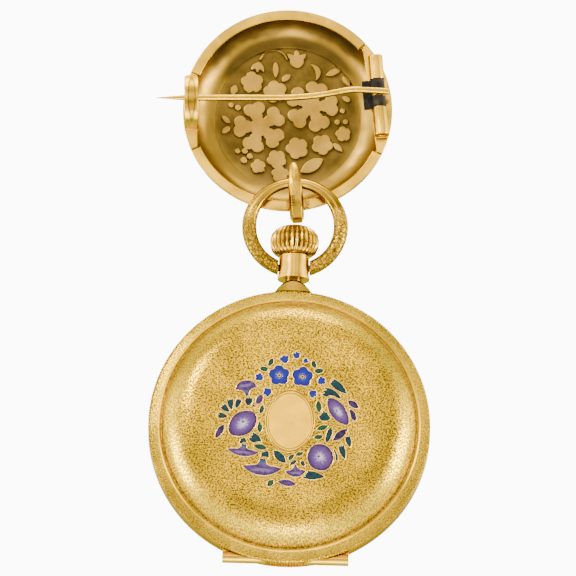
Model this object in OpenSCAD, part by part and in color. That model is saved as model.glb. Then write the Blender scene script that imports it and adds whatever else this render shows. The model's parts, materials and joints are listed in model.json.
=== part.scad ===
// Gold pendant watch hanging by its bow from a hook on a round domed brooch.
// Millimetres. +Z is up as it hangs, -Y is the side that lies against the clothes, with the brooch pin
// and the enamelled back cover. The origin is on the axis of the pin stem, where it goes through the cloth.

/* [Brooch dish] */
// Outside diameter of the brooch
brooch_d = 26.9; // [26.4:0.1:27.4]
// Width of the flat lip round the back of the brooch
lip_w = 1.25; // [1.1:0.05:1.4]
// Thickness of the lip and of the plates let into it
lip_t = 0.6; // [0.5:0.05:0.7]
// How far the lip overhangs the wall inside the dish
lip_overhang = 0.4; // [0.3:0.05:0.5]
// Radius of the floor of the dish, inside its curved wall
floor_r = 9.45; // [9.2:0.05:9.6]
// Depth of the floor below the back face of the lip
floor_depth = 3.8; // [3.6:0.05:4]
// Depth of the foot of the curved wall, a little above the floor
wall_depth = 3.5; // [3.3:0.05:3.6]
// Radius of the curve of the wall
wall_curve_r = 4.17; // [4:0.05:4.6]
// Thickness of the gold of the dish
shell_t = 0.6; // [0.55:0.01:0.7]
// Rise of the domed front over its edge
dome_rise = 0.9; // [0.8:0.05:1.1]
// Height of the origin above the middle of the brooch
stem_above_centre = 1.04; // [0.9:0.02:1.2]
// Distance from the pin stem's axis back to the face of the lip
stem_standoff = 2; // [1.9:0.02:2.1]
// Width of the catch plate, from the brooch's edge to its straight edge
catch_plate_w = 1.85; // [1.75:0.01:1.95]
// Width of the hinge plate, from the brooch's edge to its straight edge
hinge_plate_w = 2.79; // [2.65:0.01:2.95]
// Width of the fine joint lines at the ends of the two plates
joint_line_w = 0.14; // [0.1:0.01:0.18]

/* [Flowers of the brooch] */
// Height of the flat-topped flowers over the floor
relief_h = 0.4; // [0.3:0.02:0.5]
// Radius of the two large flowers
rose_r = 3.46; // [3.3:0.02:3.5]
// Thickness of the gold left between the floor of the dish and the enamel of the domed front
front_floor_t = 0.2; // [0.18:0.01:0.22]
// How much smaller each cell on the front is than the flower behind it
front_inset = 0.2; // [0.18:0.01:0.24]

/* [Catch] */
// Width of the strip of the catch
catch_w = 1.8; // [1.6:0.05:2]
// Thickness of the strip
catch_t = 0.45; // [0.4:0.01:0.5]
// Outside radius of the arch of the catch
catch_r = 3.75; // [3.65:0.01:3.85]
// Gap between the pin stem and the inside of the arch
catch_clear = 0.135; // [0.12:0.005:0.2]
// Gap between the free end of the catch and the lip
catch_mouth = 0.5; // [0.4:0.02:0.7]
// Distance of the strip's middle inside the brooch's edge
catch_inset = 1.09; // [1.05:0.01:1.25]

/* [Pin] */
// Diameter of the pin wire
stem_d = 0.83; // [0.78:0.01:0.86]
// How far the point stands out past the brooch's edge
point_out = 3.35; // [2.6:0.05:3.9]
// Length of the tapered point
taper_l = 4.3; // [3.8:0.1:4.8]
// Diameter at the very point
point_d = 0.12; // [0.1:0.01:0.16]
// Distance of the long bend's start from the hinge axis
bend_start = 12.93; // [12.8:0.01:13.1]
// Radius of the long bend of the wire towards the hinge
bend_r = 37; // [36:0.5:38]
// Angle of the long bend
bend_angle = 11.5; // [11:0.1:12]
// Length of the straight between the two bends
bend_straight = 0.9; // [0.8:0.05:1]
// Radius of the short bend back over the hinge
hinge_bend_r = 9; // [8:0.1:10]
// Angle that the wire drops past the short bend
hinge_drop_angle = 4; // [3.5:0.1:4.5]
// Length of wire past the short bend
wire_end_l = 3.4; // [3.2:0.05:3.5]

/* [Brooch hinge] */
// Diameter of the hinge tubes
tube_d = 1.86; // [1.8:0.01:1.9]
// Diameter of the pin's own blackened knuckle
knuckle_d = 1.74; // [1.66:0.01:1.78]
// Length of the pin's knuckle
knuckle_l = 3.68; // [3.5:0.02:3.7]
// Gap at each end of the knuckle
knuckle_gap = 0.05; // [0.04:0.005:0.08]
// Length of the upper tube
upper_tube_l = 3.15; // [3:0.05:3.3]
// Length of the lower tube
lower_tube_l = 3.7; // [3.5:0.05:3.9]
// Diameter of the rod through the hinge
hinge_rod_d = 0.7; // [0.6:0.01:0.8]
// Gap round the rod in the fixed tubes
rod_gap = 0.015; // [0.01:0.001:0.03]
// Gap round the rod in the pin's knuckle
rod_play = 0.03; // [0.02:0.002:0.05]
// Lean of the hinge axis, its foot outwards
hinge_lean = 4.8; // [4.2:0.1:5.2]
// Distance of the hinge axis inside the brooch's edge, level with the middle
hinge_inset = 1.62; // [1.57:0.01:1.67]
// Height of the knuckle's middle over the middle of the brooch
knuckle_up = 1.92; // [1.8:0.02:2.04]
// Width of the solder saddle under each tube
saddle_w = 1.1; // [0.9:0.05:1.3]
// Reach of the blackened tail on the inner side of the knuckle
tail_l = 2; // [1.8:0.05:2.1]
// Thickness of the tail
tail_t = 0.75; // [0.6:0.02:0.85]
// Gap between the tail and the plate
tail_gap = 0.15; // [0.12:0.01:0.25]

/* [Hook] */
// Width of the hook
hook_w = 1.85; // [1.7:0.05:1.9]
// How far the hook stands out in front of the lip
hook_out = 2.38; // [2.36:0.01:2.5]
// Height of the bow's seat over the brooch's lowest edge
seat_up = 3.38; // [3.25:0.01:3.5]
// Drop of the hook's lowest point below the seat
hook_drop = 5.2; // [5:0.05:5.4]
// Rise of the hook's tip over the seat
hook_rise = 2.67; // [2.5:0.05:2.9]
// Lean of the hook, its foot to the right
hook_lean = 4; // [3:0.1:5]
// Distance of the hook from the middle of the brooch at the seat
hook_x = 0.92; // [0.85:0.01:1]
// Gap between the bow's wire and the hook
seat_gap = 0.1; // [0.08:0.005:0.14]

/* [Bow] */
// Radius of the middle line of the bow
bow_r = 5.87; // [5.75:0.01:5.95]
// Thickness of the bow's wire at the top, in the hook
bow_top_d = 1.31; // [1.25:0.01:1.34]
// Thickness of the bow's wire at its sides
bow_side_d = 1.86; // [1.7:0.01:1.9]
// Diameter of the pivots at the bow's ends
pivot_d = 0.9; // [0.8:0.01:1]
// Gap round the pivots
pivot_play = 0.02; // [0.015:0.001:0.03]
// Length of each pivot inside the pendant
pivot_l = 0.75; // [0.7:0.01:0.8]
// Gap between the bow's ends and the pendant
bow_end_gap = 0.065; // [0.05:0.005:0.1]
// Height of the pivots over the foot of the pendant's tube
pivot_up = 1.6; // [1.5:0.02:1.7]

/* [Pendant and crown] */
// Diameter of the pendant's tube
pendant_d = 3.87; // [3.8:0.01:3.95]
// Length of the pendant's tube
pendant_l = 3.1; // [3:0.02:3.2]
// Diameter of the collar at the foot of the tube
collar_d = 4.1; // [4:0.02:4.2]
// Height of the collar
collar_h = 0.4; // [0.3:0.02:0.5]
// Diameter of the narrow neck under the tube
neck_d = 2.1; // [1.9:0.02:2.3]
// Length of the neck
neck_l = 0.3; // [0.26:0.01:0.34]
// Diameter of the rounded foot of the pendant
foot_d = 5.2; // [5:0.05:5.4]
// Height of the foot
foot_h = 1.75; // [1.7:0.02:1.85]
// Radius of the curve of the foot's sides
foot_curve_r = 4.7; // [4.2:0.1:5.2]
// Depth of the foot from front to back
foot_depth = 2.7; // [2.5:0.05:2.9]
// Diameter of the post that joins the foot to the band
post_d = 1.9; // [1.8:0.02:1.94]
// Diameter of the crown
crown_d = 6.28; // [6.1:0.02:6.4]
// Height of the crown
crown_h = 4; // [3.8:0.02:4.1]
// Number of flutes round the crown
crown_flutes = 28; // [24:1:32]
// Depth of the flutes
flute_depth = 0.3; // [0.2:0.01:0.34]
// Gap between the crown and the pendant
crown_gap = 0.05; // [0.04:0.005:0.08]
// Diameter of the winding stem
winding_d = 1.3; // [1.2:0.02:1.4]
// Length of winding stem inside the pendant
winding_l = 0.8; // [0.7:0.02:0.85]
// Gap round the winding stem
winding_play = 0.03; // [0.02:0.002:0.05]

/* [Watch case] */
// Diameter of the case
case_d = 36; // [35.6:0.1:36.4]
// Thickness of the case over both covers
case_t = 10.6; // [10.4:0.05:10.9]
// Distance of the edge of each cover's flat middle inside the case's edge
flat_inset = 6.4; // [6.2:0.05:6.8]
// Radius of the round shoulder of each cover
shoulder_r = 4.81; // [4.7:0.01:4.9]
// Thickness of the gold of the covers
cover_t = 0.45; // [0.4:0.01:0.5]
// Half the thickness of the closed rim
rim_half_t = 1.2; // [1.1:0.02:1.3]
// Rise of the flange from the rim to the bead
flange_rise = 0.42; // [0.36:0.01:0.5]
// Half the gap between the rims of the two covers
rim_gap = 0.12; // [0.1:0.01:0.16]
// Width of the rim of each cover, outside the band
rim_w = 1; // [0.9:0.02:1.1]
// Distance of the fine bead round the shoulder inside the case's edge
bead_inset = 1.42; // [1.38:0.01:1.5]
// Thickness of the fine bead
bead_d = 0.36; // [0.3:0.01:0.4]
// Gap between the covers and the band under them
lid_gap = 0.1; // [0.08:0.01:0.14]
// Width of the band's ring
band_w = 1.4; // [1.2:0.05:1.6]
// Thickness of the inner dust cover
dust_t = 0.35; // [0.3:0.01:0.4]
// Rise of the dust cover's low dome
dust_rise = 0.6; // [0.5:0.02:0.8]
// Distance of the works behind the band inside the case's edge
works_inset = 5.6; // [5.4:0.05:6]
// Distance of the case's middle plane in front of the brooch's lip
hang_out = 0.95; // [0.94:0.005:0.98]
// Lean of the hanging watch, its top to the right
hang_lean = 1.6; // [1.4:0.05:1.8]
// Distance of the case's middle to the right of the brooch's middle
case_x = 0.2; // [0.1:0.01:0.3]

/* [Case hinge] */
// Diameter of the hinge tube at the foot of the case
case_hinge_d = 1.5; // [1.4:0.01:1.52]
// Length of the whole hinge
case_hinge_l = 16.1; // [15.8:0.05:16.4]
// Length of the back cover's own knuckle
cover_knuckle_l = 4.5; // [4.3:0.05:4.7]
// Distance of the hinge axis inside the case's edge
case_hinge_inset = 0.8; // [0.74:0.01:0.84]
// Distance of the hinge axis towards the back cover from the middle plane
case_hinge_out = 0.1; // [0.08:0.01:0.12]
// Gap round and between the knuckles
case_hinge_gap = 0.1; // [0.08:0.005:0.12]
// Diameter of the rod through the case hinge
case_rod_d = 0.6; // [0.5:0.01:0.66]
// Depth of the open mouths at the hinge's ends
hinge_mouth = 0.5; // [0.4:0.02:0.6]

/* [Enamel wreath] */
// Radius of the field that the wreath is set out in
wreath_r = 10; // [9.9:0.02:10.2]
// Depth of the enamel cells
cell_depth = 0.2; // [0.18:0.01:0.24]
// Gap between the enamel and the wall of its cell
cell_gap = 0.04; // [0.03:0.005:0.05]
// Gap under the enamel
cell_floor_gap = 0.01; // [0.01:0.002:0.02]
// Width of the gold left between two cells
cell_wall = 0.12; // [0.1:0.01:0.16]
// Width of the plain oval cartouche
cartouche_w = 6.2; // [6:0.02:6.3]
// Height of the oval cartouche
cartouche_h = 8.29; // [8.1:0.02:8.4]
// Height of the cartouche over the cover
cartouche_rise = 0.05; // [0.04:0.005:0.08]

/* [Hidden] */
ROUND = 96;
FINE = 48;
eps = 0.01;
gold = "#d9b45c";
pale_gold = "#e8cd8a";
blackened = "#22252c";
blue = "#2a48c8";
violet = "#6a4f9c";
teal = "#15524c";
green = "#2c6b45";
plum = "#3d2c66";

// Columns of the tables of flowers and leaves; all but the angles are shares of the field that holds them
ACROSS = 0;
UP = 1;
LONG = 2;
WIDE = 3;
TURN = 4;
SPREAD = 5;

brooch_r = brooch_d / 2;
lip_r = brooch_r - lip_w;
catch_x = brooch_r - catch_inset;
hinge_x = brooch_r - hinge_inset;
point_x = brooch_r + point_out;
bend_start_x = bend_start - hinge_x;
seat_drop = brooch_r - seat_up;
wall_top_r = lip_r + lip_overhang;
stem_r = stem_d / 2;
tube_r = tube_d / 2;
knuckle_r = knuckle_d / 2;
case_r = case_d / 2;
cover_h = case_t / 2;
cover_flat_r = case_r - flat_inset;
bead_ring_r = case_r - bead_inset;
works_r = case_r - works_inset;
case_hinge_drop = case_r - case_hinge_inset;
pendant_r = pendant_d / 2;
bow_top_wire_r = bow_top_d / 2;

// Heights along the pendant, from the case's centre; the foot's sides start below the rim's crown
foot_z = case_r - 0.25;
neck_z = foot_z + foot_h;
pendant_z = neck_z + neck_l;
crown_z = pendant_z + pendant_l + crown_gap;
pivot_z = pendant_z + pivot_up;
bow_z = pivot_z + sqrt(bow_r * bow_r - pendant_r * pendant_r);
bow_top_z = bow_z + bow_r;

// Centre of the wall's curve, from its two ends and its radius
wall_mid = [(wall_top_r + floor_r) / 2, -(lip_t + wall_depth) / 2];
wall_run = [wall_top_r - floor_r, wall_depth - lip_t];
wall_side = sqrt(wall_curve_r * wall_curve_r - wall_run * wall_run / 4);
wall_centre = wall_mid + wall_side * [-wall_run[1], wall_run[0]] / norm(wall_run);
dome_r = (floor_r * floor_r + dome_rise * dome_rise) / (2 * dome_rise);
dome_centre = dome_r - wall_depth - shell_t - dome_rise;

// Angles of the two plates let into the lip, and the lean of the hinge plate's edge
catch_from = 157.8;
catch_to = 203.3;
hinge_from = -26.2;
hinge_to = 41.6;
plate_lean = 7.3;

// Case profile
shoulder_z = cover_h - shoulder_r;
rim_in_r = case_r - rim_w;
band_r = rim_in_r - lid_gap;
band_in_r = band_r - band_w;
rim_ceiling = rim_half_t - 0.05;
band_half_t = rim_ceiling - lid_gap;
case_hinge_r = case_hinge_d / 2;
knuckle_start = cover_knuckle_l / 2 + case_hinge_gap;
web_drop = sqrt(band_r * band_r - case_hinge_l * case_hinge_l / 4) - 0.6;
seat_r = 0.3;
cover_shelf_r = cover_flat_r + sqrt(pow(shoulder_r - cover_t, 2) - pow(rim_ceiling - shoulder_z, 2));
dust_r = cover_shelf_r - lid_gap;
dust_ball_r = (dust_r * dust_r + dust_rise * dust_rise) / (2 * dust_rise);
cartouche_at = [0.0107, -0.0451];

// Stand an outline or a turned solid up, so that its heights run towards the pin side
module facing() { rotate([90, 0, 0]) children(); }
// Stand up a side profile drawn as distance towards the pin side and height
module sideways() { rotate([90, 0, -90]) children(); }
// Move to the middle of the brooch, on the face of its lip
module at_brooch() { translate([0, stem_standoff, -stem_above_centre]) children(); }
// Move to the case's centre, leaning as it hangs
module at_watch() {
    at_brooch()
        translate([case_x + bow_top_z * sin(hang_lean), -hang_out, -seat_drop])
            rotate([0, hang_lean, 0])
                translate([0, 0, -bow_top_z])
                    children();
}
// Move from the brooch's middle to its hinge axis, level with the knuckle's middle
module at_brooch_hinge() {
    translate([hinge_x - knuckle_up * tan(hinge_lean), -tube_r, knuckle_up])
        rotate([0, -hinge_lean, 0])
            children();
}
// Move from the case's centre to the middle of the case hinge, Z along its axis
module at_case_hinge() {
    translate([0, -case_hinge_out, -case_hinge_drop]) rotate([0, 90, 0]) children();
}
// Put an outline in its place in a field of a given radius
module placed(f, field) { translate(field * [f[ACROSS], f[UP]]) rotate(f[TURN]) children(); }

// Pointed leaf from two arcs, lying along X; every outline here is grown all round by g
module leaf(length, width, g = 0) {
    arc_r = (length * length + width * width) / (4 * width);
    off = arc_r - width / 2;
    intersection() {
        translate([0, -off]) circle(arc_r + g, $fn = ROUND);
        translate([0, off]) circle(arc_r + g, $fn = ROUND);
    }
}

// Curved leaf: one side bows out and the other bends in
module sickle_leaf(length, width, g = 0) {
    outer_r = (length * length / 4 + width * width) / (2 * width);
    inner_r = 2.2 * outer_r;
    translate([0, -width / 2])
        difference() {
            translate([0, width - outer_r]) circle(outer_r + g, $fn = ROUND);
            translate([0, -sqrt(inner_r * inner_r - length * length / 4)]) circle(inner_r - g, $fn = 2 * ROUND);
            translate([-length, -3 * outer_r]) square([2 * length, 3 * outer_r - g]);
        }
}

// Oval from four arcs, taller than wide
module oval(width, height, g = 0) {
    a = width / 2;
    b = height / 2;
    end_r = 0.72 * a * a / b + 0.12 * a;
    side_r = (a * a + b * b - 2 * b * end_r) / (2 * (a - end_r));
    meet = (b - end_r) * side_r / (side_r - end_r);
    intersection() {
        translate([side_r - a, 0]) circle(side_r + g, $fn = ROUND);
        translate([a - side_r, 0]) circle(side_r + g, $fn = ROUND);
        square([4 * a, 2 * meet], center = true);
    }
    for (end = [-1, 1])
        translate([0, end * (b - end_r)]) circle(end_r + g, $fn = ROUND);
}

// Blossom of round petals
module blossom(r, g = 0) {
    for (k = [0 : 4])
        rotate(90 + 72 * k) translate([0.52 * r, 0]) circle(0.48 * r + g, $fn = FINE);
    circle(0.5 * r + g, $fn = FINE);
}

// Wild rose of five heart-shaped petals
module rose(r, g = 0) {
    for (k = [0 : 4])
        rotate(90 + 72 * k) {
            for (side = [-1, 1])
                translate([0.73 * r, 0.17 * side * r]) circle(0.24 * r + g, $fn = FINE);
            translate([0.47 * r, 0]) circle(0.23 * r + g, $fn = FINE);
        }
    circle(0.36 * r + g, $fn = FINE);
}

// Round bud with three lobes
module bud(r, g = 0) {
    circle(0.7 * r + g, $fn = FINE);
    for (k = [-1 : 1])
        rotate(90 + 58 * k) translate([0.62 * r, 0]) circle(0.38 * r + g, $fn = FINE);
}

// Three pointed lobes that spread from one point, the fan pointing along X
module leaf_fan(length, width, spread, g = 0) {
    for (k = [-1 : 1])
        rotate(k * spread) translate([0.48 * length, 0]) leaf(length, width, g);
}

// Trumpet flower from the side: a bowl below, nearly flat on top, and a throat that narrows upwards
module trumpet(width, height, g = 0) {
    bowl_h = 0.52 * height;
    brow_h = 0.12 * height;
    bowl_r = (width * width / 4 + bowl_h * bowl_h) / (2 * bowl_h);
    brow_r = (width * width / 4 + brow_h * brow_h) / (2 * brow_h);
    throat_w = 0.16 * width;
    flare_r = height - bowl_h;
    intersection() {
        translate([0, bowl_r - bowl_h]) circle(bowl_r + g, $fn = ROUND);
        translate([0, brow_h - brow_r]) circle(brow_r + g, $fn = ROUND);
    }
    difference() {
        translate([-throat_w / 2 - 0.8 * flare_r, 0]) square([throat_w + 1.6 * flare_r, height - bowl_h + g]);
        for (side = [-1, 1])
            translate([side * (throat_w / 2 + flare_r), flare_r]) {
                circle(flare_r - g, $fn = ROUND);
                translate([-flare_r + g, 0]) square([2 * flare_r, 2 * flare_r]);
            }
    }
}

// Part of a disc between two angles, for the plates let into the lip
module wedge(from, to) {
    reach = 2 * brooch_r;
    mid = (from + to) / 2;
    polygon([[0, 0], reach * [cos(from), sin(from)], reach * [cos(mid), sin(mid)], reach * [cos(to), sin(to)]]);
}

// Flat lip with the catch plate and the hinge plate let into it, and fine joint lines at their ends
module lip() {
    linear_extrude(lip_t)
        difference() {
            circle(brooch_r, $fn = ROUND);
            circle(lip_r, $fn = ROUND);
            wedge(catch_from, catch_to);
            wedge(hinge_from, hinge_to);
        }
    linear_extrude(lip_t)
        intersection() {
            circle(brooch_r, $fn = ROUND);
            wedge(catch_from, catch_to);
            translate([catch_plate_w - brooch_r - brooch_d, -brooch_r]) square([brooch_d, brooch_d]);
        }
    linear_extrude(lip_t)
        intersection() {
            circle(brooch_r, $fn = ROUND);
            wedge(hinge_from, hinge_to);
            rotate(plate_lean) translate([brooch_r - hinge_plate_w, -brooch_d]) square([brooch_d, 2 * brooch_d]);
        }
}

// Fine cuts at the ends of the plates
module joint_lines() {
    for (a = [catch_from, catch_to, hinge_from, hinge_to])
        rotate(a)
            translate([floor_r, -joint_line_w / 2, -lip_t / 2])
                cube([brooch_r, joint_line_w, lip_t]);
}

// Half section of the dish's hollow
module dish_hollow_profile() {
    translate([0, -floor_depth]) square([floor_r, floor_depth + eps]);
    intersection() {
        translate(wall_centre) circle(wall_curve_r, $fn = 2 * ROUND);
        translate([floor_r - eps, -2 * floor_depth]) square([wall_top_r - floor_r + eps, 2 * floor_depth + eps]);
    }
    translate([floor_r - eps, -lip_t]) square([wall_top_r - floor_r + eps, lip_t + eps]);
}

// Half section of the dish's outside, up to the underside of the lip
module dish_outer_profile() {
    intersection() {
        translate([0, dome_centre]) circle(dome_r, $fn = 4 * ROUND);
        translate([0, -2 * floor_depth]) square([floor_r, 2 * floor_depth - lip_t / 2]);
    }
    intersection() {
        translate(wall_centre) circle(wall_curve_r + shell_t, $fn = 2 * ROUND);
        translate([floor_r - eps, -2 * floor_depth]) square([brooch_r - floor_r, 2 * floor_depth - lip_t / 2]);
    }
}

// Solid under the domed front
module dome_ball() {
    rotate_extrude($fn = ROUND)
        intersection() {
            translate([0, dome_centre]) circle(dome_r, $fn = 4 * ROUND);
            translate([0, -3 * floor_depth]) square([floor_r, 3 * floor_depth - lip_t]);
        }
}

// Roses of the dish
ROSES = [[-0.379, -0.129, 0, 0, 16], [0.334, 0.162, 0, 0, -14]];
// Blossoms of the dish; the fourth column is unused
BLOSSOMS = [
    [-0.483, 0.509, 0.157, 0, 6], [-0.168, 0.375, 0.163, 0, 12], [0.129, -0.432, 0.157, 0, 20],
    [0.473, -0.381, 0.149, 0, 44], [0.759, -0.230, 0.108, 0, 10], [-0.149, -0.588, 0.135, 0, 30],
    [-0.402, -0.689, 0.102, 0, 8], [-0.10, -0.80, 0.12, 0, 0]];
// Leaves of the dish
DISH_LEAVES = [
    [-0.161, 0.69, 0.24, 0.08, 88], [-0.02, 0.573, 0.15, 0.085, 40], [0.64, 0.66, 0.26, 0.09, 24],
    [0.80, 0.53, 0.17, 0.09, -58], [-0.73, 0.40, 0.16, 0.09, 70], [-0.84, -0.02, 0.15, 0.07, -38],
    [-0.838, -0.17, 0.14, 0.08, 35], [0.686, -0.42, 0.17, 0.08, -42], [0.80, 0.27, 0.13, 0.075, -25],
    [0.33, -0.68, 0.36, 0.17, 32]];
SICKLES = [[0.40, 0.665, 0.24, 0.10, -72]];
// Small round fruits of the dish
FRUITS = [
    [-0.77, 0.186, 0.036], [-0.676, 0.149, 0.04], [0.75, 0.10, 0.036], [0.678, -0.06, 0.036],
    [0.79, -0.055, 0.036], [-0.68, -0.47, 0.036], [-0.584, -0.47, 0.04], [-0.516, -0.545, 0.04],
    [-0.596, -0.60, 0.044]];

module rose_outlines(g = 0) {
    for (f = ROSES) placed(f, floor_r) rose(rose_r, g);
}

module blossom_outlines(g = 0) {
    for (f = BLOSSOMS) placed(f, floor_r) blossom(floor_r * f[LONG], g);
}

module fruit_outlines() {
    for (f = FRUITS) translate(floor_r * [f[ACROSS], f[UP]]) circle(floor_r * f[LONG], $fn = FINE);
}

module dish_leaf_outlines(g = 0) {
    for (f = DISH_LEAVES) placed(f, floor_r) leaf(floor_r * f[LONG], floor_r * f[WIDE], g);
    for (f = SICKLES) placed(f, floor_r) sickle_leaf(floor_r * f[LONG], floor_r * f[WIDE], g);
    translate(floor_r * [0.127, 0.81]) horned_bud(g);
}

// Half-open bud with three horns, high in the dish
module horned_bud(g = 0) {
    circle(0.095 * floor_r + g, $fn = FINE);
    for (side = [-1, 0, 1])
        rotate(90 + 52 * side) translate([0.08 * floor_r, 0]) leaf(0.17 * floor_r, 0.08 * floor_r, g);
}

// Drooping bud on its arched stalk
module drooping_bud() {
    stalk_r = 0.2 * floor_r;
    stalk_w = 0.02 * floor_r;
    translate(floor_r * [-0.39, 0.80]) rotate(-100) leaf_fan(0.16 * floor_r, 0.065 * floor_r, 34);
    translate(floor_r * [-0.19, 0.78])
        intersection() {
            difference() {
                circle(stalk_r, $fn = ROUND);
                circle(stalk_r - stalk_w, $fn = ROUND);
            }
            translate([-1.1 * stalk_r, 0.05 * floor_r]) square([2.1 * stalk_r, 0.25 * floor_r]);
        }
}

// Prisms of the cells on the domed front, from a flat bottom out through the dome
module front_cells(lift = 0) {
    low = wall_depth + shell_t + dome_rise + 1;
    translate([0, 0, -low]) linear_extrude(low - floor_depth - front_floor_t - lift) children();
}

module front_rose_cells(g, lift = 0) { front_cells(lift) rose_outlines(g - front_inset); }
module front_blossom_cells(g, lift = 0) { front_cells(lift) blossom_outlines(g - front_inset); }
module front_leaf_cells(g, lift = 0) { front_cells(lift) dish_leaf_outlines(g - front_inset / 2); }

// Enamel of the front, level with the dome
module front_enamel() {
    at_brooch()
        facing()
            intersection() {
                children();
                dome_ball();
            }
}

// Domed dish of the brooch, with the flowers standing up from its floor
module dish() {
    difference() {
        union() {
            rotate_extrude($fn = ROUND)
                difference() {
                    dish_outer_profile();
                    dish_hollow_profile();
                }
            translate([0, 0, -floor_depth - eps])
                linear_extrude(relief_h + eps)
                    intersection() {
                        circle(floor_r, $fn = ROUND);
                        union() {
                            rose_outlines();
                            blossom_outlines();
                            fruit_outlines();
                            dish_leaf_outlines();
                            drooping_bud();
                        }
                    }
        }
        front_rose_cells(cell_gap);
        front_blossom_cells(cell_gap);
        front_leaf_cells(cell_gap);
    }
}

// Gold tube of the hinge on its solder saddle, on one side of the knuckle
module hinge_tube(length, side) {
    translate([0, 0, side * (knuckle_l / 2 + knuckle_gap + length / 2)]) {
        cylinder(r = tube_r, h = length, center = true, $fn = ROUND);
        translate([-saddle_w / 2, 0, -length / 2]) cube([saddle_w, tube_r + 2 * eps, length]);
    }
}

// Arched strip that covers the pin near its point, open at the top
module catch() {
    in_r = catch_r - catch_t;
    centre_h = stem_standoff + stem_r + catch_clear - in_r;
    end_up = catch_r - 0.62 * catch_w;
    translate([-catch_x, 0, stem_above_centre])
        intersection() {
            sideways()
                linear_extrude(catch_w, center = true)
                    difference() {
                        translate([centre_h, 0]) circle(catch_r, $fn = 2 * ROUND);
                        translate([centre_h, 0]) circle(in_r, $fn = 2 * ROUND);
                        translate([-2 * catch_r - lip_t / 2, -2 * catch_r]) square([2 * catch_r, 4 * catch_r]);
                        translate([-catch_r, 0]) square([catch_r + catch_mouth, 2 * catch_r]);
                    }
            facing()
                translate([0, 0, -lip_t])
                    linear_extrude(2 * catch_r) {
                        translate([0, end_up]) circle(catch_w / 2, $fn = ROUND);
                        translate([-catch_w / 2, -2 * catch_r]) square([catch_w, 2 * catch_r + end_up]);
                    }
        }
}

// Sections of the hook from its tip round to its foot. Each row holds the outer face's distance from the
// lip and height, the inner face's distance and height, the width, and the share of it that is flat.
// Distances are shares of hook_out, heights over the seat of hook_rise and below it of hook_drop.
function hook_up(share) = share > 0 ? share * hook_rise : share * hook_drop;
seat_face = hang_out + bow_top_wire_r + seat_gap;
HOOK_SECTIONS = [
    [0.60, 1.00, 0.52, 0.97, 0.24, 0.50],
    [0.70, 0.86, 0.50, 0.82, 0.60, 0.50],
    [0.83, 0.50, 0.58, 0.47, 0.76, 0.55],
    [0.93, 0.12, seat_face / hook_out, 0.15, 0.84, 0.60],
    [1.00, -0.10, seat_face / hook_out + 0.01, -0.02, 0.90, 0.62],
    [0.96, -0.42, 0.42, -0.36, 0.98, 0.64],
    [0.89, -0.74, 0.19, -0.58, 1.00, 0.64],
    [0.66, -0.93, 0.04, -0.62, 1.00, 0.60],
    [0.30, -1.00, -0.06, -0.63, 1.00, 0.60],
    [-0.11, -0.97, -0.17, -0.63, 1.00, 0.60],
    [-0.38, -0.84, -0.24, -0.62, 1.00, 0.60],
    [-0.41, -0.62, -0.26, -0.55, 1.00, 0.60]];

// Six corners of one section: the flat of the outer face, its bevelled edges, and the inner face
function hook_ring(s) =
    let (w = hook_w * s[4] / 2, flat = w * s[5])
    let (outer = [s[0] * hook_out, hook_up(s[1])], inner = [s[2] * hook_out, hook_up(s[3])])
    let (edge = outer + (inner - outer) * 0.38)
    [[flat, -outer[0], outer[1]], [-flat, -outer[0], outer[1]], [-w, -edge[0], edge[1]],
     [-w, -inner[0], inner[1]], [w, -inner[0], inner[1]], [w, -edge[0], edge[1]]];

// Skin of a row of rings with the same number of points, closed at both ends
function skin_faces(rings, sides) = concat(
    [[for (k = [0 : sides - 1]) k]],
    [for (i = [0 : rings - 2], k = [0 : sides - 1])
        [i * sides + k, (i + 1) * sides + k, i * sides + (k + 1) % sides]],
    [for (i = [0 : rings - 2], k = [0 : sides - 1])
        [i * sides + (k + 1) % sides, (i + 1) * sides + k, (i + 1) * sides + (k + 1) % sides]],
    [[for (k = [0 : sides - 1]) rings * sides - 1 - k]]);

// Bevelled hook that wraps under the lip and rises in front of the bow's wire
module hook() {
    translate([hook_x, 0, -seat_drop])
        rotate([0, -hook_lean, 0])
            polyhedron(
                points = [for (s = HOOK_SECTIONS, p = hook_ring(s)) p],
                faces = skin_faces(len(HOOK_SECTIONS), 6));
}

module brooch() {
    color(gold)
        at_brooch()
            difference() {
                union() {
                    facing()
                        difference() {
                            union() {
                                dish();
                                translate([0, 0, -lip_t]) lip();
                            }
                            joint_lines();
                        }
                    catch();
                    hook();
                    at_brooch_hinge() {
                        hinge_tube(upper_tube_l, 1);
                        hinge_tube(lower_tube_l, -1);
                    }
                }
                at_brooch_hinge()
                    cylinder(d = hinge_rod_d + 2 * rod_gap, h = brooch_d, center = true, $fn = FINE);
            }
}

module brooch_hinge_rod() {
    below = knuckle_l / 2 + knuckle_gap + lower_tube_l - hinge_mouth;
    above = knuckle_l / 2 + knuckle_gap + upper_tube_l - hinge_mouth;
    color(pale_gold)
        at_brooch()
            at_brooch_hinge()
                translate([0, 0, -below]) cylinder(d = hinge_rod_d, h = below + above, $fn = FINE);
}

module front_roses() { color(violet) front_enamel() front_rose_cells(0, cell_floor_gap); }
module front_blossoms() { color(blue) front_enamel() front_blossom_cells(0, cell_floor_gap); }
module front_leaves() { color(teal) front_enamel() front_leaf_cells(0, cell_floor_gap); }

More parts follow.
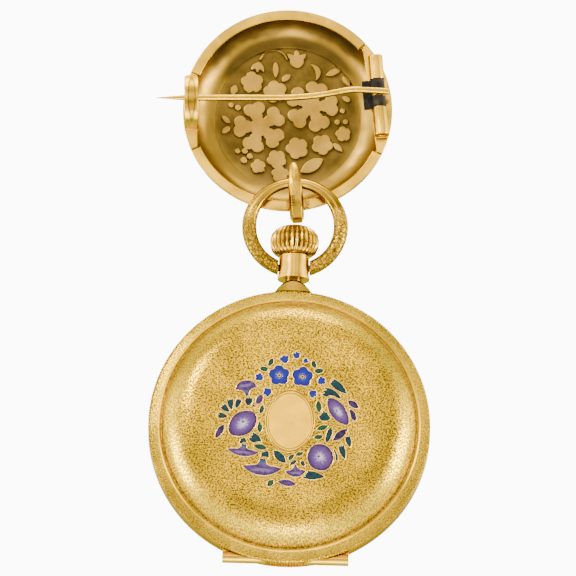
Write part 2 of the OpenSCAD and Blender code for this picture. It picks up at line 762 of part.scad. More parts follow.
// Middle line of the pin's wire from its point to past the hinge: across, up, direction and radius
function stem_path() =
    let (first_end = [-bend_start_x + bend_r * sin(bend_angle), bend_r * (1 - cos(bend_angle))])
    let (second_start = first_end + bend_straight * [cos(bend_angle), sin(bend_angle)])
    let (centre = second_start + hinge_bend_r * [sin(bend_angle), -cos(bend_angle)])
    let (drop = hinge_drop_angle, turn = bend_angle + hinge_drop_angle)
    concat(
        [[-point_x, 0, 0, point_d / 2], [taper_l - point_x, 0, 0, stem_r]],
        [for (i = [0 : 6]) let (a = bend_angle * i / 6)
            [-bend_start_x + bend_r * sin(a), bend_r * (1 - cos(a)), a, stem_r]],
        [for (i = [0 : 8]) let (a = bend_angle - turn * i / 8)
            [centre[0] - hinge_bend_r * sin(a), centre[1] + hinge_bend_r * cos(a), a, stem_r]],
        [[centre[0] + hinge_bend_r * sin(drop) + wire_end_l * cos(drop),
            centre[1] + hinge_bend_r * cos(drop) - wire_end_l * sin(drop), -drop, stem_r]]);

function stem_ring(p, sides) = [for (k = [0 : sides - 1]) let (c = 360 / sides * k, r = p[3])
    [p[0] - r * cos(c) * sin(p[2]), -r * sin(c), p[1] + r * cos(c) * cos(p[2])]];

module stem_wire() {
    sides = 24;
    path = stem_path();
    polyhedron(points = [for (p = path, q = stem_ring(p, sides)) q], faces = skin_faces(len(path), sides));
}

module pin_stem() {
    color(pale_gold) difference() {
        union() {
            stem_wire();
            at_brooch()
                at_brooch_hinge() {
                    cylinder(r = knuckle_r, h = knuckle_l, center = true, $fn = ROUND);
                    translate([-tail_l, tube_r - tail_gap - tail_t, -knuckle_l / 2])
                        cube([tail_l, tail_t, knuckle_l]);
                }
        }
        at_brooch()
            at_brooch_hinge()
                cylinder(d = hinge_rod_d + 2 * rod_play, h = 2 * knuckle_l, center = true, $fn = FINE);
    }
}

// Thickness of the bow's wire at an angle from its top
function bow_wire_r(a) =
    let (t = min(1, abs(a) / 95))
    bow_top_wire_r + (bow_side_d / 2 - bow_top_wire_r) * t * t * (3 - 2 * t);

// One ring of the bow's wire
function bow_ring(a, sides) = [for (k = [0 : sides - 1])
    let (w = bow_wire_r(a), c = 360 / sides * k)
    [(bow_r + w * cos(c)) * sin(a), -w * sin(c), bow_z + (bow_r + w * cos(c)) * cos(a)]];

// Ring of the bow, thinner at the top, with its ends cut flat at the pendant and a pivot at each end
module bow() {
    sides = 16;
    rings = 65;
    last = 180 - asin(pendant_r / bow_r) + 2;
    gap_x = pendant_r + bow_end_gap;
    color(gold) at_watch() {
        difference() {
            polyhedron(
                points = [for (i = [0 : rings - 1], p = bow_ring(last * (2 * i / (rings - 1) - 1), sides)) p],
                faces = skin_faces(rings, sides));
            translate([-gap_x, -bow_r, pivot_z - 2 * bow_side_d]) cube([2 * gap_x, 2 * bow_r, 4 * bow_side_d]);
        }
        for (side = [-1, 1])
            translate([side * (pendant_r + bow_end_gap + 0.3), 0, pivot_z])
                rotate([0, -90 * side, 0])
                    cylinder(d = pivot_d, h = pivot_l + bow_end_gap + 0.3, $fn = FINE);
    }
}

// Half section of a closed cover's outside, its heights from the case's middle plane
module cover_outer_profile() {
    square([cover_flat_r, cover_h]);
    intersection() {
        translate([cover_flat_r, shoulder_z]) circle(shoulder_r, $fn = 2 * ROUND);
        translate([cover_flat_r - eps, 0]) square([shoulder_r + eps, cover_h]);
    }
    polygon([[0, 0], [case_r, 0], [case_r, rim_half_t], [bead_ring_r, rim_half_t + flange_rise],
        [0, rim_half_t + flange_rise]]);
    translate([bead_ring_r, rim_half_t + flange_rise]) circle(d = bead_d, $fn = FINE);
}

// Half section of a cover's hollow, with the seat of its rim over the band
module cover_hollow_profile() {
    translate([0, -eps]) square([cover_flat_r, cover_h - cover_t + eps]);
    intersection() {
        translate([cover_flat_r, shoulder_z]) circle(shoulder_r - cover_t, $fn = 2 * ROUND);
        translate([cover_flat_r - eps, 0]) square([shoulder_r + eps, cover_h]);
    }
    translate([0, -eps]) square([rim_in_r, rim_ceiling + eps]);
    translate([0, -eps]) square([case_r + eps, rim_gap + eps]);
}

// Hollow cover, without its hinge
module cover_shell() {
    facing()
        rotate_extrude($fn = 2 * ROUND)
            difference() {
                cover_outer_profile();
                cover_hollow_profile();
            }
}

// Room for the pendant's post
module post_room() { cylinder(d = post_d + 2 * lid_gap, h = case_d, $fn = FINE); }

// Room for the fixed parts of the hinge, between two distances across and as deep as given towards the front
module hinge_room(from, to, depth) {
    web_front = 0.5 + case_hinge_gap;
    translate([from, -web_front, -case_d]) cube([to - from, web_front + depth, case_d - web_drop + case_hinge_gap]);
    translate([0, -case_hinge_out, -case_hinge_drop])
        rotate([0, 90, 0])
            translate([0, 0, from])
                cylinder(r = case_hinge_r + case_hinge_gap, h = to - from, $fn = FINE);
}

// Gold cells of the wreath and the seat of the cartouche
FORGET_ME_NOTS = [[-0.142, 0.556, 0.14, 0, 4], [0.154, 0.545, 0.14, 0, -6]];
BLUE_BUDS = [
    [-0.076, 0.763, 0.070, 0, 20], [0.072, 0.822, 0.060, 0, 0], [-0.387, 0.52, 0.066, 0, 60],
    [-0.275, 0.334, 0.070, 0, 110], [0.392, 0.491, 0.068, 0, -50], [0.285, 0.329, 0.064, 0, -120],
    [0.186, 0.753, 0.046, 0, -30]];
PURPLE_BUDS = [[-0.384, 0.231, 0.16, 0.09, 62], [-0.005, -0.865, 0.25, 0.095, -8]];
GREEN_LEAVES = [
    [-0.255, 0.726, 0.13, 0.07, 62], [-0.335, 0.635, 0.13, 0.075, -12], [0.295, 0.715, 0.12, 0.07, 112],
    [0.362, 0.628, 0.13, 0.075, 8], [-0.352, 0.10, 0.13, 0.07, 74], [-0.372, -0.135, 0.16, 0.075, 96],
    [-0.356, -0.398, 0.18, 0.085, -12], [0.038, -0.525, 0.12, 0.06, 48], [0.145, -0.478, 0.12, 0.06, 22],
    [-0.214, -0.872, 0.12, 0.08, 50], [0.426, -0.123, 0.17, 0.075, 22], [0.378, -0.248, 0.13, 0.07, 14],
    [0.372, 0.157, 0.18, 0.08, 100]];
DARK_LEAVES = [
    [-0.105, -0.522, 0.24, 0.11, -46], [0.512, -0.215, 0.24, 0.085, 74], [0.19, -0.60, 0.10, 0.06, -56]];
// Dark leaves with three lobes: across, up, length, width and turn, then the lobes' spread
DARK_FANS = [
    [-0.733, 0.076, 0.18, 0.045, 101, 12], [-0.682, 0.097, 0.16, 0.045, 73, 12],
    [-0.756, 0.049, 0.155, 0.045, 139, 13], [-0.779, -0.009, 0.15, 0.045, 172, 13],
    [0.733, 0.333, 0.29, 0.075, 141, 7], [0.656, 0.269, 0.27, 0.08, 157, 11], [0.473, -0.771, 0.30, 0.07, 175, 9],
    [0.634, -0.568, 0.19, 0.05, 114, 8], [0.725, -0.535, 0.215, 0.052, 107, 9], [0.789, -0.378, 0.175, 0.05, 106, 9],
    [-0.573, -0.272, 0.14, 0.06, -92, 17], [-0.27, -0.428, 0.16, 0.065, -106, 16],
    [0.072, -0.54, 0.13, 0.06, -88, 18], [-0.34, -0.346, 0.19, 0.075, 147, 15], [0.40, -0.02, 0.15, 0.08, 48, 30],
    [-0.527, 0.14, 0.13, 0.06, 85, 18], [-0.473, 0.13, 0.12, 0.05, 45, 18]];
PURPLE_LEAVES = [
    [-0.878, -0.205, 0.23, 0.09, 60], [0.655, -0.21, 0.26, 0.10, 42], [0.812, 0.197, 0.18, 0.09, -34],
    [0.808, 0.055, 0.19, 0.085, -64]];

module forget_me_not_outlines(g = 0) {
    for (f = FORGET_ME_NOTS) placed(f, wreath_r) blossom(wreath_r * f[LONG], g);
}
module blue_bud_outlines(g = 0) {
    for (f = BLUE_BUDS) placed(f, wreath_r) bud(wreath_r * f[LONG], g);
}
module purple_bud_outlines(g = 0) {
    for (f = PURPLE_BUDS) placed(f, wreath_r) leaf(wreath_r * f[LONG], wreath_r * f[WIDE], g);
}
module glory_left_outline(g = 0) {
    translate(wreath_r * [-0.59, -0.094]) rotate(-48) oval(0.31 * wreath_r, 0.42 * wreath_r, g);
}
module glory_right_outline(g = 0) {
    translate(wreath_r * [0.621, 0.098]) rotate(36) oval(0.21 * wreath_r, 0.43 * wreath_r, g);
}
module glory_low_outline(g = 0) {
    translate(wreath_r * [0.411, -0.515]) rotate(20) oval(0.34 * wreath_r, 0.37 * wreath_r, g);
}
module trumpet_side_outline(g = 0) {
    translate(wreath_r * [-0.558, 0.372]) rotate(190) trumpet(0.29 * wreath_r, 0.22 * wreath_r, g);
}
module trumpet_crescent_outline(g = 0) {
    translate(wreath_r * [-0.571, -0.445]) rotate(-5) trumpet(0.43 * wreath_r, 0.17 * wreath_r, g);
}
module trumpet_long_outline(g = 0) {
    translate(wreath_r * [-0.325, -0.66]) rotate(-3) trumpet(0.52 * wreath_r, 0.23 * wreath_r, g);
}
module trumpet_small_outline(g = 0) {
    translate(wreath_r * [0.10, -0.70]) rotate(4) trumpet(0.27 * wreath_r, 0.17 * wreath_r, g);
}
module cartouche_outline(g = 0) {
    translate(wreath_r * cartouche_at) oval(cartouche_w, cartouche_h, g);
}

// All the flowers that the leaves keep clear of
module flower_outlines(g = 0) {
    forget_me_not_outlines(g);
    blue_bud_outlines(g);
    purple_bud_outlines(g);
    glory_left_outline(g);
    glory_right_outline(g);
    glory_low_outline(g);
    trumpet_side_outline(g);
    trumpet_crescent_outline(g);
    trumpet_long_outline(g);
    trumpet_small_outline(g);
    cartouche_outline(g);
}

// Leaves, cut back where a flower or a leaf of another colour lies
module green_leaf_outlines(g = 0) {
    difference() {
        for (f = GREEN_LEAVES) placed(f, wreath_r) leaf(wreath_r * f[LONG], wreath_r * f[WIDE], g);
        flower_outlines(cell_wall + 2 * cell_gap - g);
    }
}
module dark_leaf_outlines(g = 0) {
    difference() {
        union() {
            for (f = DARK_LEAVES) placed(f, wreath_r) leaf(wreath_r * f[LONG], wreath_r * f[WIDE], g);
            for (f = DARK_FANS)
                placed(f, wreath_r) leaf_fan(wreath_r * f[LONG], wreath_r * f[WIDE], f[SPREAD], g);
        }
        flower_outlines(cell_wall + 2 * cell_gap - g);
        for (f = GREEN_LEAVES)
            placed(f, wreath_r)
                leaf(wreath_r * f[LONG], wreath_r * f[WIDE], cell_wall + 2 * cell_gap - g);
    }
}
module purple_leaf_outlines(g = 0) {
    difference() {
        for (f = PURPLE_LEAVES) placed(f, wreath_r) leaf(wreath_r * f[LONG], wreath_r * f[WIDE], g);
        flower_outlines(cell_wall + 2 * cell_gap - g);
    }
}

// Cells of the wreath, cut into the flat of the back cover
module wreath_cells() {
    facing()
        translate([0, 0, cover_h - cell_depth])
            linear_extrude(1) {
                flower_outlines(cell_gap);
                green_leaf_outlines(cell_gap);
                dark_leaf_outlines(cell_gap);
                purple_leaf_outlines(cell_gap);
            }
}

// Enamel in the cells, or the plate of the cartouche, to a height over the cover
module inlay(tint, rise = 0) {
    color(tint)
        at_watch()
            facing()
                translate([0, 0, cover_h - cell_depth + cell_floor_gap])
                    linear_extrude(cell_depth - cell_floor_gap + rise)
                        children();
}

module back_cover() {
    color(gold)
        at_watch()
            difference() {
                union() {
                    difference() {
                        cover_shell();
                        for (side = [0, 1])
                            mirror([side, 0, 0])
                                hinge_room(
                                    knuckle_start - case_hinge_gap, case_hinge_l / 2 + case_hinge_gap, 0.5);
                        post_room();
                        wreath_cells();
                    }
                    at_case_hinge() cylinder(r = case_hinge_r, h = cover_knuckle_l, center = true, $fn = FINE);
                }
                at_case_hinge() cylinder(d = case_rod_d + 2 * rod_play, h = case_d, center = true, $fn = FINE);
            }
}

module front_cover() {
    room = case_hinge_l / 2 + case_hinge_gap;
    color(gold)
        at_watch()
            difference() {
                mirror([0, 1, 0]) cover_shell();
                hinge_room(-room, room, case_r - case_hinge_drop);
                post_room();
            }
}

// Turned foot of the pendant, saddled on the rim
module pendant_foot() {
    side_mid = [(foot_d + neck_d) / 4, foot_h / 2];
    side_run = [(foot_d - neck_d) / 2, foot_h];
    side_off = sqrt(foot_curve_r * foot_curve_r - side_run * side_run / 4);
    centre = side_mid - side_off * [side_run[1], side_run[0]] / norm(side_run);
    difference() {
        intersection() {
            translate([0, 0, foot_z])
                rotate_extrude($fn = ROUND)
                    intersection() {
                        translate(centre) circle(foot_curve_r, $fn = 2 * ROUND);
                        square([foot_d, foot_h]);
                    }
            translate([-foot_d, -foot_depth / 2, foot_z]) cube([2 * foot_d, foot_depth, 2 * foot_h]);
        }
        facing() cylinder(r = case_r + lid_gap / 2, h = case_t, center = true, $fn = 2 * ROUND);
    }
}

// Band between the covers with the pendant, and the fixed knuckles of the hinge
module case_band() {
    stem_hole_l = winding_l + crown_gap;
    color(gold) at_watch() difference() {
        union() {
            facing()
                difference() {
                    union() {
                        cylinder(r = band_r, h = 2 * band_half_t, center = true, $fn = 2 * ROUND);
                        cylinder(r = case_r - seat_r, h = 1.3 * rim_gap, center = true, $fn = 2 * ROUND);
                    }
                    cylinder(r = band_in_r, h = case_t, center = true, $fn = 2 * ROUND);
                }
            translate([0, 0, band_in_r + eps]) cylinder(d = post_d, h = neck_z - band_in_r, $fn = FINE);
            pendant_foot();
            translate([0, 0, neck_z - eps]) cylinder(d = neck_d, h = neck_l + 2 * eps, $fn = FINE);
            translate([0, 0, pendant_z]) cylinder(d = pendant_d, h = pendant_l, $fn = ROUND);
            translate([0, 0, pendant_z]) cylinder(d = collar_d, h = collar_h, $fn = ROUND);
            for (side = [0, 1])
                mirror([side, 0, 0]) fixed_knuckle();
        }
        translate([0, -case_hinge_out, -case_hinge_drop])
            rotate([0, 90, 0])
                cylinder(
                    r = case_hinge_r + case_hinge_gap, h = cover_knuckle_l + 2 * case_hinge_gap,
                    center = true, $fn = FINE);
        at_case_hinge() cylinder(d = case_rod_d + 2 * rod_gap, h = case_d, center = true, $fn = FINE);
        for (side = [-1, 1])
            translate([side * case_hinge_l / 2, -case_hinge_out, -case_hinge_drop])
                rotate([0, 90, 0])
                    cylinder(r = case_hinge_r - 0.25, h = 2 * hinge_mouth, center = true, $fn = FINE);
        translate([0, 0, pivot_z])
            rotate([0, 90, 0]) bow_pivot_holes();
        translate([0, 0, pendant_z + pendant_l - stem_hole_l])
            cylinder(d = winding_d + 2 * winding_play, h = 2 * stem_hole_l, $fn = FINE);
    }
}

// Blind holes for the bow's pivots
module bow_pivot_holes() {
    for (side = [-1, 1])
        translate([0, 0, side * (pendant_r - pivot_l / 2)])
            cylinder(d = pivot_d + 2 * pivot_play, h = pivot_l + 2 * pivot_play, center = true, $fn = FINE);
}

// Fixed knuckle on the right, and the web that joins it to the band
module fixed_knuckle() {
    length = case_hinge_l / 2 - knuckle_start;
    translate([knuckle_start, -case_hinge_out, -case_hinge_drop])
        rotate([0, 90, 0])
            cylinder(r = case_hinge_r, h = length, $fn = FINE);
    difference() {
        translate([knuckle_start, -0.5, -case_hinge_drop]) cube([length, 0.95, case_hinge_drop - web_drop]);
        facing() cylinder(r = band_in_r + eps, h = case_t, center = true, $fn = 2 * ROUND);
    }
}

// Closed drum of the works, between the front cover and the dust cover
module movement() {
    gap = lid_gap;
    color(pale_gold)
        at_watch()
            facing() {
                translate([0, 0, -band_half_t])
                    cylinder(r = band_in_r - gap, h = 2 * band_half_t - gap / 2, $fn = 2 * ROUND);
                translate([0, 0, -cover_h + cover_t + 4 * gap])
                    cylinder(r = works_r, h = cover_h - cover_t - 4 * gap, $fn = 2 * ROUND);
            }
}

module dust_cover() {
    color(gold)
        at_watch()
            facing()
                translate([0, 0, band_half_t + lid_gap / 5])
                    rotate_extrude($fn = 2 * ROUND)
                        difference() {
                            intersection() {
                                translate([0, dust_rise + dust_t - dust_ball_r])
                                    circle(dust_ball_r, $fn = 16 * ROUND);
                                square([dust_r, 2 * dust_rise]);
                            }
                            intersection() {
                                translate([0, dust_rise - dust_ball_r]) circle(dust_ball_r, $fn = 16 * ROUND);
                                square([dust_r - 2 * dust_t, 2 * dust_rise]);
                            }
                        }
}

module case_hinge_rod() {
    color(pale_gold)
        at_watch()
            at_case_hinge()
                cylinder(d = case_rod_d, h = case_hinge_l - 2 * hinge_mouth - 0.2, center = true, $fn = FINE);
}

// Outline of the crown: shares of its height, and of its radius
CROWN_ROWS = [
    [0, 0.60, 0], [0.03, 0.74, 0.3], [0.14, 0.90, 1], [0.34, 0.99, 1], [0.52, 1.00, 1], [0.70, 0.95, 1],
    [0.85, 0.80, 1], [0.94, 0.60, 0.6], [0.985, 0.42, 0], [1, 0.2, 0]];

// Row of points round the crown, let in at each flute
function crown_ring(row) = [for (k = [0 : 4 * crown_flutes - 1])
    let (a = 90 / crown_flutes * k)
    let (r = crown_d / 2 * row[1] - row[2] * flute_depth * (1 + cos(a * crown_flutes)) / 2)
    [r * cos(a), r * sin(a), crown_h * row[0]]];

module crown() {
    color(gold)
        at_watch()
            translate([0, 0, crown_z]) {
                polyhedron(
                    points = [for (row = CROWN_ROWS, p = crown_ring(row)) p],
                    faces = skin_faces(len(CROWN_ROWS), 4 * crown_flutes));
                translate([0, 0, -winding_l]) cylinder(d = winding_d, h = winding_l + crown_h / 2, $fn = FINE);
            }
}

module cartouche() { inlay(pale_gold, cartouche_rise) cartouche_outline(); }
module forget_me_nots() { inlay(blue) difference() { forget_me_not_outlines(); eye_outlines(cell_gap); } }
module forget_me_not_eyes() { inlay("#d8c84a") eye_outlines(); }
module eye_outlines(g = 0) {
    for (f = FORGET_ME_NOTS) placed(f, wreath_r) circle(0.27 * wreath_r * f[LONG] + g, $fn = FINE);
}
module blue_buds() { inlay(blue) blue_bud_outlines(); }
module glory_left() { inlay(violet) glory_left_outline(); }
module glory_right() { inlay(violet) glory_right_outline(); }
module glory_low() { inlay(violet) glory_low_outline(); }
module trumpet_side() { inlay(violet) trumpet_side_outline(); }
module trumpet_crescent() { inlay(violet) trumpet_crescent_outline(); }
module trumpet_long() { inlay(violet) trumpet_long_outline(); }
module trumpet_small() { inlay(violet) trumpet_small_outline(); }
module purple_buds() { inlay(violet) purple_bud_outlines(); }
module green_leaves() { inlay(green) green_leaf_outlines(); }
module dark_leaves() { inlay(teal) dark_leaf_outlines(); }
module purple_leaves() { inlay(plum) purple_leaf_outlines(); }

brooch();
brooch_hinge_rod();
front_roses();
front_blossoms();
front_leaves();
pin_stem();
bow();
case_band();
movement();
front_cover();
dust_cover();
case_hinge_rod();
crown();
back_cover();
cartouche();
forget_me_nots();
forget_me_not_eyes();
blue_buds();
glory_left();
glory_right();
glory_low();
trumpet_side();
trumpet_crescent();
trumpet_long();
trumpet_small();
purple_buds();
green_leaves();
dark_leaves();
purple_leaves();
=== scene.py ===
"""Looks of a gold pendant watch that hangs from the hook of a round domed brooch."""

import json
import math

import bpy
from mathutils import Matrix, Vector


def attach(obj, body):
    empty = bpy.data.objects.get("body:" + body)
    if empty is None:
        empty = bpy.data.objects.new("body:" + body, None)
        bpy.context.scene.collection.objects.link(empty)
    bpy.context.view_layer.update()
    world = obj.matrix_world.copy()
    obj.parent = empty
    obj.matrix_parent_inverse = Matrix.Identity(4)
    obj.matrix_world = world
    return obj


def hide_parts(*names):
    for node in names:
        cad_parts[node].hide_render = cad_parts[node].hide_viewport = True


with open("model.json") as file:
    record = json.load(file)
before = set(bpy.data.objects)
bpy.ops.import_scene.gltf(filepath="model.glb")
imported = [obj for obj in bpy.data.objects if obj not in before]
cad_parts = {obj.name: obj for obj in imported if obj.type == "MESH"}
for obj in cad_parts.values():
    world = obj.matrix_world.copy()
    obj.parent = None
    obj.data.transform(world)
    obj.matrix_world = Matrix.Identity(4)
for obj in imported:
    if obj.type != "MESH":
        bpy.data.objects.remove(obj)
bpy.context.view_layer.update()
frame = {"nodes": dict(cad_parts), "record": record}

bl_info = {
    "name": "Chatelaine watch pin",
    "version": (1, 0, 0),
    "blender": (4, 5, 0),
    "location": "3D View > Sidebar > Watch pin",
    "description": "Dresses the watch and its brooch in worn gold and enamel",
    "category": "Object",
}

BODIES = frame["record"]["behaviour"]["bodies"]
BODY_OF = {node: body for body, nodes in BODIES.items() for node in nodes}

MM = 0.001

# The brooch's middle, on the face of its lip, and the case's middle with its lean, in metres and radians
BROOCH_CENTRE = Vector((0.0, 2.0, -1.04)) * MM
HANG_LEAN = math.radians(1.6)
WATCH_CENTRE = Vector((0.2, 1.05, -43.9091)) * MM
WATCH_ACROSS = Vector((math.cos(HANG_LEAN), 0.0, -math.sin(HANG_LEAN)))
WATCH_UP = Vector((math.sin(HANG_LEAN), 0.0, math.cos(HANG_LEAN)))

# Places on the watch in millimetres, from the middle of its case: the height of the bow's middle over it, the
# radius of the bow's ring, how far the back's field stands out from it, and the middle and half sizes of the
# cartouche; and the numbers of flutes round the crown and of milled lines round the rims
BOW_UP = 26.94
BOW_RING = 5.87
FIELD_OUT = 5.3
CARTOUCHE_CENTRE = (0.107, -0.451)
CARTOUCHE_HALF = (3.1, 4.145)
CROWN_FLUTES = 28.0
RIM_MILLING = 320.0

# Vertices of a CAD mesh nearer to each other than this are joined, in metres
WELD = 0.000002

# Edge tint of the gold's mirror, and the base colour of gold that faces down, which is painted shade,
# darker than the rest and greener because it mirrors other gold
EDGE_TINT = (0.85, 0.70, 0.12)
UNDERSIDE_SHADE_GOLD = (0.19, 0.155, 0.003)
DOWN = (0, 0, -1)

# Sockets of the mix node in its colour mode
MIX_SHARE, MIX_FIRST, MIX_SECOND, MIX_RESULT = 0, 6, 7, 2


class Value:
    """A socket of a shader tree that Python's own operators work on."""

    def __init__(self, finish, socket):
        self.finish = finish
        self.socket = socket

    def _math(self, operation, *others):
        return self.finish.add("ShaderNodeMath", {"operation": operation}, (self, *others))

    def __add__(self, other):
        return self._math("ADD", other)

    def __sub__(self, other):
        return self._math("SUBTRACT", other)

    def __mul__(self, other):
        return self._math("MULTIPLY", other)

    def __truediv__(self, other):
        return self._math("DIVIDE", other)

    def __rsub__(self, other):
        return self.finish.add("ShaderNodeMath", {"operation": "SUBTRACT"}, (other, self))

    def __abs__(self):
        return self._math("ABSOLUTE")

    __radd__ = __add__
    __rmul__ = __mul__

    def sine(self):
        return self._math("SINE")

    def cosine(self):
        return self._math("COSINE")

    def root(self):
        return self._math("SQRT")

    def smaller(self, other):
        return self._math("MINIMUM", other)

    def larger(self, other):
        return self._math("MAXIMUM", other)

    def rise(self, low, high):
        """0 below low, 1 above high and smooth between them; high may be the lower of the two."""
        turned = high < low
        settings = {"interpolation_type": "SMOOTHSTEP"}
        inputs = (self, min(low, high), max(low, high), 1.0 if turned else 0.0, 0.0 if turned else 1.0)
        return self.finish.add("ShaderNodeMapRange", settings, inputs)

    def within(self, low, high, soft):
        """1 between low and high, and 0 past them by soft."""
        return self.rise(low - soft, low) * self.rise(high + soft, high)


class Finish:
    """One procedural material: its tree, its coordinates in millimetres and its shader."""

    def __init__(self, name):
        self.material = bpy.data.materials.new(name)
        self.material.use_nodes = True
        self.tree = self.material.node_tree
        self.tree.nodes.clear()
        self.shader = self.tree.nodes.new("ShaderNodeBsdfPrincipled")
        output = self.tree.nodes.new("ShaderNodeOutputMaterial")
        self.tree.links.new(self.shader.outputs["BSDF"], output.inputs["Surface"])
        coordinates = self.tree.nodes.new("ShaderNodeTexCoord")
        self.place = Value(self, coordinates.outputs["Object"])
        self.facing = Value(self, coordinates.outputs["Normal"])

    def set(self, socket, value):
        """Links a value to a socket, or writes a constant on it. None leaves the socket as it is."""
        if isinstance(value, Value):
            self.tree.links.new(value.socket, socket)
        elif value is not None:
            if socket.type == "RGBA" and len(value) == 3:
                value = (*value, 1.0)
            socket.default_value = value

    def add(self, kind, settings=None, inputs=(), output=0):
        """Adds a node, sets it up, and fills its sockets with values or links."""
        node = self.tree.nodes.new(kind)
        for key, value in (settings or {}).items():
            setattr(node, key, value)
        pairs = inputs.items() if isinstance(inputs, dict) else enumerate(inputs)
        for key, value in pairs:
            self.set(node.inputs[key], value)
        return Value(self, node.outputs[output])

    def dot(self, vector, direction):
        settings = {"operation": "DOT_PRODUCT"}
        return self.add("ShaderNodeVectorMath", settings, (vector, tuple(direction)), "Value")

    def along(self, origin, direction):
        """Distance in millimetres from a point of the frame, along a direction."""
        direction = Vector(direction)
        return self.dot(self.place, direction / MM) - origin.dot(direction) / MM

    def noise(self, size, detail=2.0, rough=0.5, warp=0.0):
        """Noise whose patches are about a size in millimetres."""
        inputs = {"Vector": self.place, "Scale": 1.0 / (size * MM)}
        inputs.update({"Detail": detail, "Roughness": rough, "Distortion": warp})
        return self.add("ShaderNodeTexNoise", None, inputs, "Fac")

    def cells(self, size):
        """0 on the borders of cells about a size in millimetres, and rising to their middles."""
        inputs = {"Vector": self.place, "Scale": 1.0 / (size * MM)}
        return self.add("ShaderNodeTexVoronoi", {"feature": "DISTANCE_TO_EDGE"}, inputs, "Distance")

    def angle(self, across, up):
        """Angle round a middle, in radians, from the across direction towards up."""
        return self.add("ShaderNodeMath", {"operation": "ARCTAN2"}, (up, across))

    def mix(self, share, first, second):
        """Colour between first and second by a share."""
        inputs = {MIX_SHARE: share, MIX_FIRST: first, MIX_SECOND: second}
        return self.add("ShaderNodeMix", {"data_type": "RGBA"}, inputs, MIX_RESULT)

    def bump(self, height, depth, normal=None):
        """Normal from a height of 0 to 1 that stands for a depth in millimetres."""
        inputs = {"Strength": 1.0, "Distance": depth * MM, "Height": height, "Normal": normal}
        return self.add("ShaderNodeBump", None, inputs, "Normal")

    def rounded(self, reach, samples):
        """Normal softened over the edges within a reach in millimetres."""
        return self.add("ShaderNodeBevel", {"samples": samples}, {"Radius": reach * MM}, "Normal")

    def hollows(self, reach, samples=8):
        """1 in the open and 0 deep in corners, which are looked for within a reach in millimetres."""
        settings = {"samples": samples, "only_local": True}
        return self.add("ShaderNodeAmbientOcclusion", settings, {"Distance": reach * MM}, "AO")

    def finish(self, colour, roughness, normal, metallic=1.0, coat=0.0, specular=0.5):
        """Fills the shader and gives the material. Metals mirror with a golden tint at their edges."""
        sockets = {
            "Base Color": colour, "Roughness": roughness, "Normal": normal, "Metallic": metallic,
            "Coat Weight": coat, "Coat Roughness": 0.05, "Specular IOR Level": specular,
        }
        if metallic != 0.0:
            sockets["Specular Tint"] = EDGE_TINT
        for name, value in sockets.items():
            self.set(self.shader.inputs[name], value)
        return self.material

    def brooch_place(self):
        """Across, up and out of the brooch, from its middle on the face of the lip."""
        return (
            self.along(BROOCH_CENTRE, (1, 0, 0)),
            self.along(BROOCH_CENTRE, (0, 0, 1)),
            self.along(BROOCH_CENTRE, (0, -1, 0)),
        )

    def watch_place(self):
        """Across, up and out of the watch, from the middle of its case."""
        return (
            self.along(WATCH_CENTRE, WATCH_ACROSS),
            self.along(WATCH_CENTRE, WATCH_UP),
            self.along(WATCH_CENTRE, (0, -1, 0)),
        )


def radius(across, up):
    """Distance from a middle of two distances across and up."""
    return (across * across + up * up).root()


def shade(colour, factor, lift=0.0):
    """A colour times a factor, plus a lift, and no part of it above 1."""
    return tuple(min(1.0, part * factor + lift) for part in colour)


class GoldSettings(bpy.types.PropertyGroup):
    """Colours and textures of the gold."""

    yellow: bpy.props.FloatVectorProperty(
        name="Yellow gold", description="Colour of the stippled case", subtype="COLOR", size=3,
        default=(0.50, 0.28, 0.002), min=0.0, max=1.0)
    pale: bpy.props.FloatVectorProperty(
        name="Pale gold", description="Colour of the polished rims and the pin", subtype="COLOR", size=3,
        default=(0.63, 0.335, 0.010), min=0.0, max=1.0)
    # The shadow colour is painted shade in hollows, corners, grooves and flutes
    shadow: bpy.props.FloatVectorProperty(
        name="Painted shade", description="Colour of painted shade in the hollows", subtype="COLOR", size=3,
        default=(0.072, 0.044, 0.003), min=0.0, max=1.0)
    stipple: bpy.props.FloatProperty(
        name="Stipple", description="Width of the worms of the stippled ground", default=0.00016,
        min=0.0001, max=0.002, subtype="DISTANCE", unit="LENGTH", precision=5)


class EnamelSettings(bpy.types.PropertyGroup):
    """Colours of the enamel and the gold wire round it."""

    blue: bpy.props.FloatVectorProperty(
        name="Blue", description="Colour of the forget-me-nots", subtype="COLOR", size=3,
        default=(0.0038, 0.0048, 0.105), min=0.0, max=1.0)
    violet: bpy.props.FloatVectorProperty(
        name="Violet", description="Colour of the morning glories", subtype="COLOR", size=3,
        default=(0.020, 0.0070, 0.035), min=0.0, max=1.0)
    leaf: bpy.props.FloatVectorProperty(
        name="Leaf", description="Colour of the leaves", subtype="COLOR", size=3,
        default=(0.004, 0.034, 0.012), min=0.0, max=1.0)
    dark_leaf: bpy.props.FloatVectorProperty(
        name="Dark leaf", description="Colour of the darker leaves", subtype="COLOR", size=3,
        default=(0.0006, 0.020, 0.018), min=0.0, max=1.0)
    wire: bpy.props.FloatProperty(
        name="Outline", description="Thickness of the gold outline round each cell", default=0.00013,
        min=0.00005, max=0.0004, subtype="DISTANCE", unit="LENGTH", precision=5)


class StageSettings(bpy.types.PropertyGroup):
    """Camera, floor and light."""

    elevation: bpy.props.FloatProperty(
        name="Elevation", description="Height of the camera over the horizon", default=math.radians(-16.5),
        subtype="ANGLE", unit="ROTATION")
    distance: bpy.props.FloatProperty(
        name="Distance", description="Distance of the camera from the object", default=2.0, min=0.1, max=5.0,
        subtype="DISTANCE", unit="LENGTH")
    view_height: bpy.props.FloatProperty(
        name="View", description="Height of the picture at the object", default=0.0737, min=0.01, max=1.0,
        subtype="DISTANCE", unit="LENGTH")


def only(obj):
    """Makes an object the only one selected, and the active one."""
    bpy.ops.object.select_all(action="DESELECT")
    obj.select_set(True)
    bpy.context.view_layer.objects.active = obj


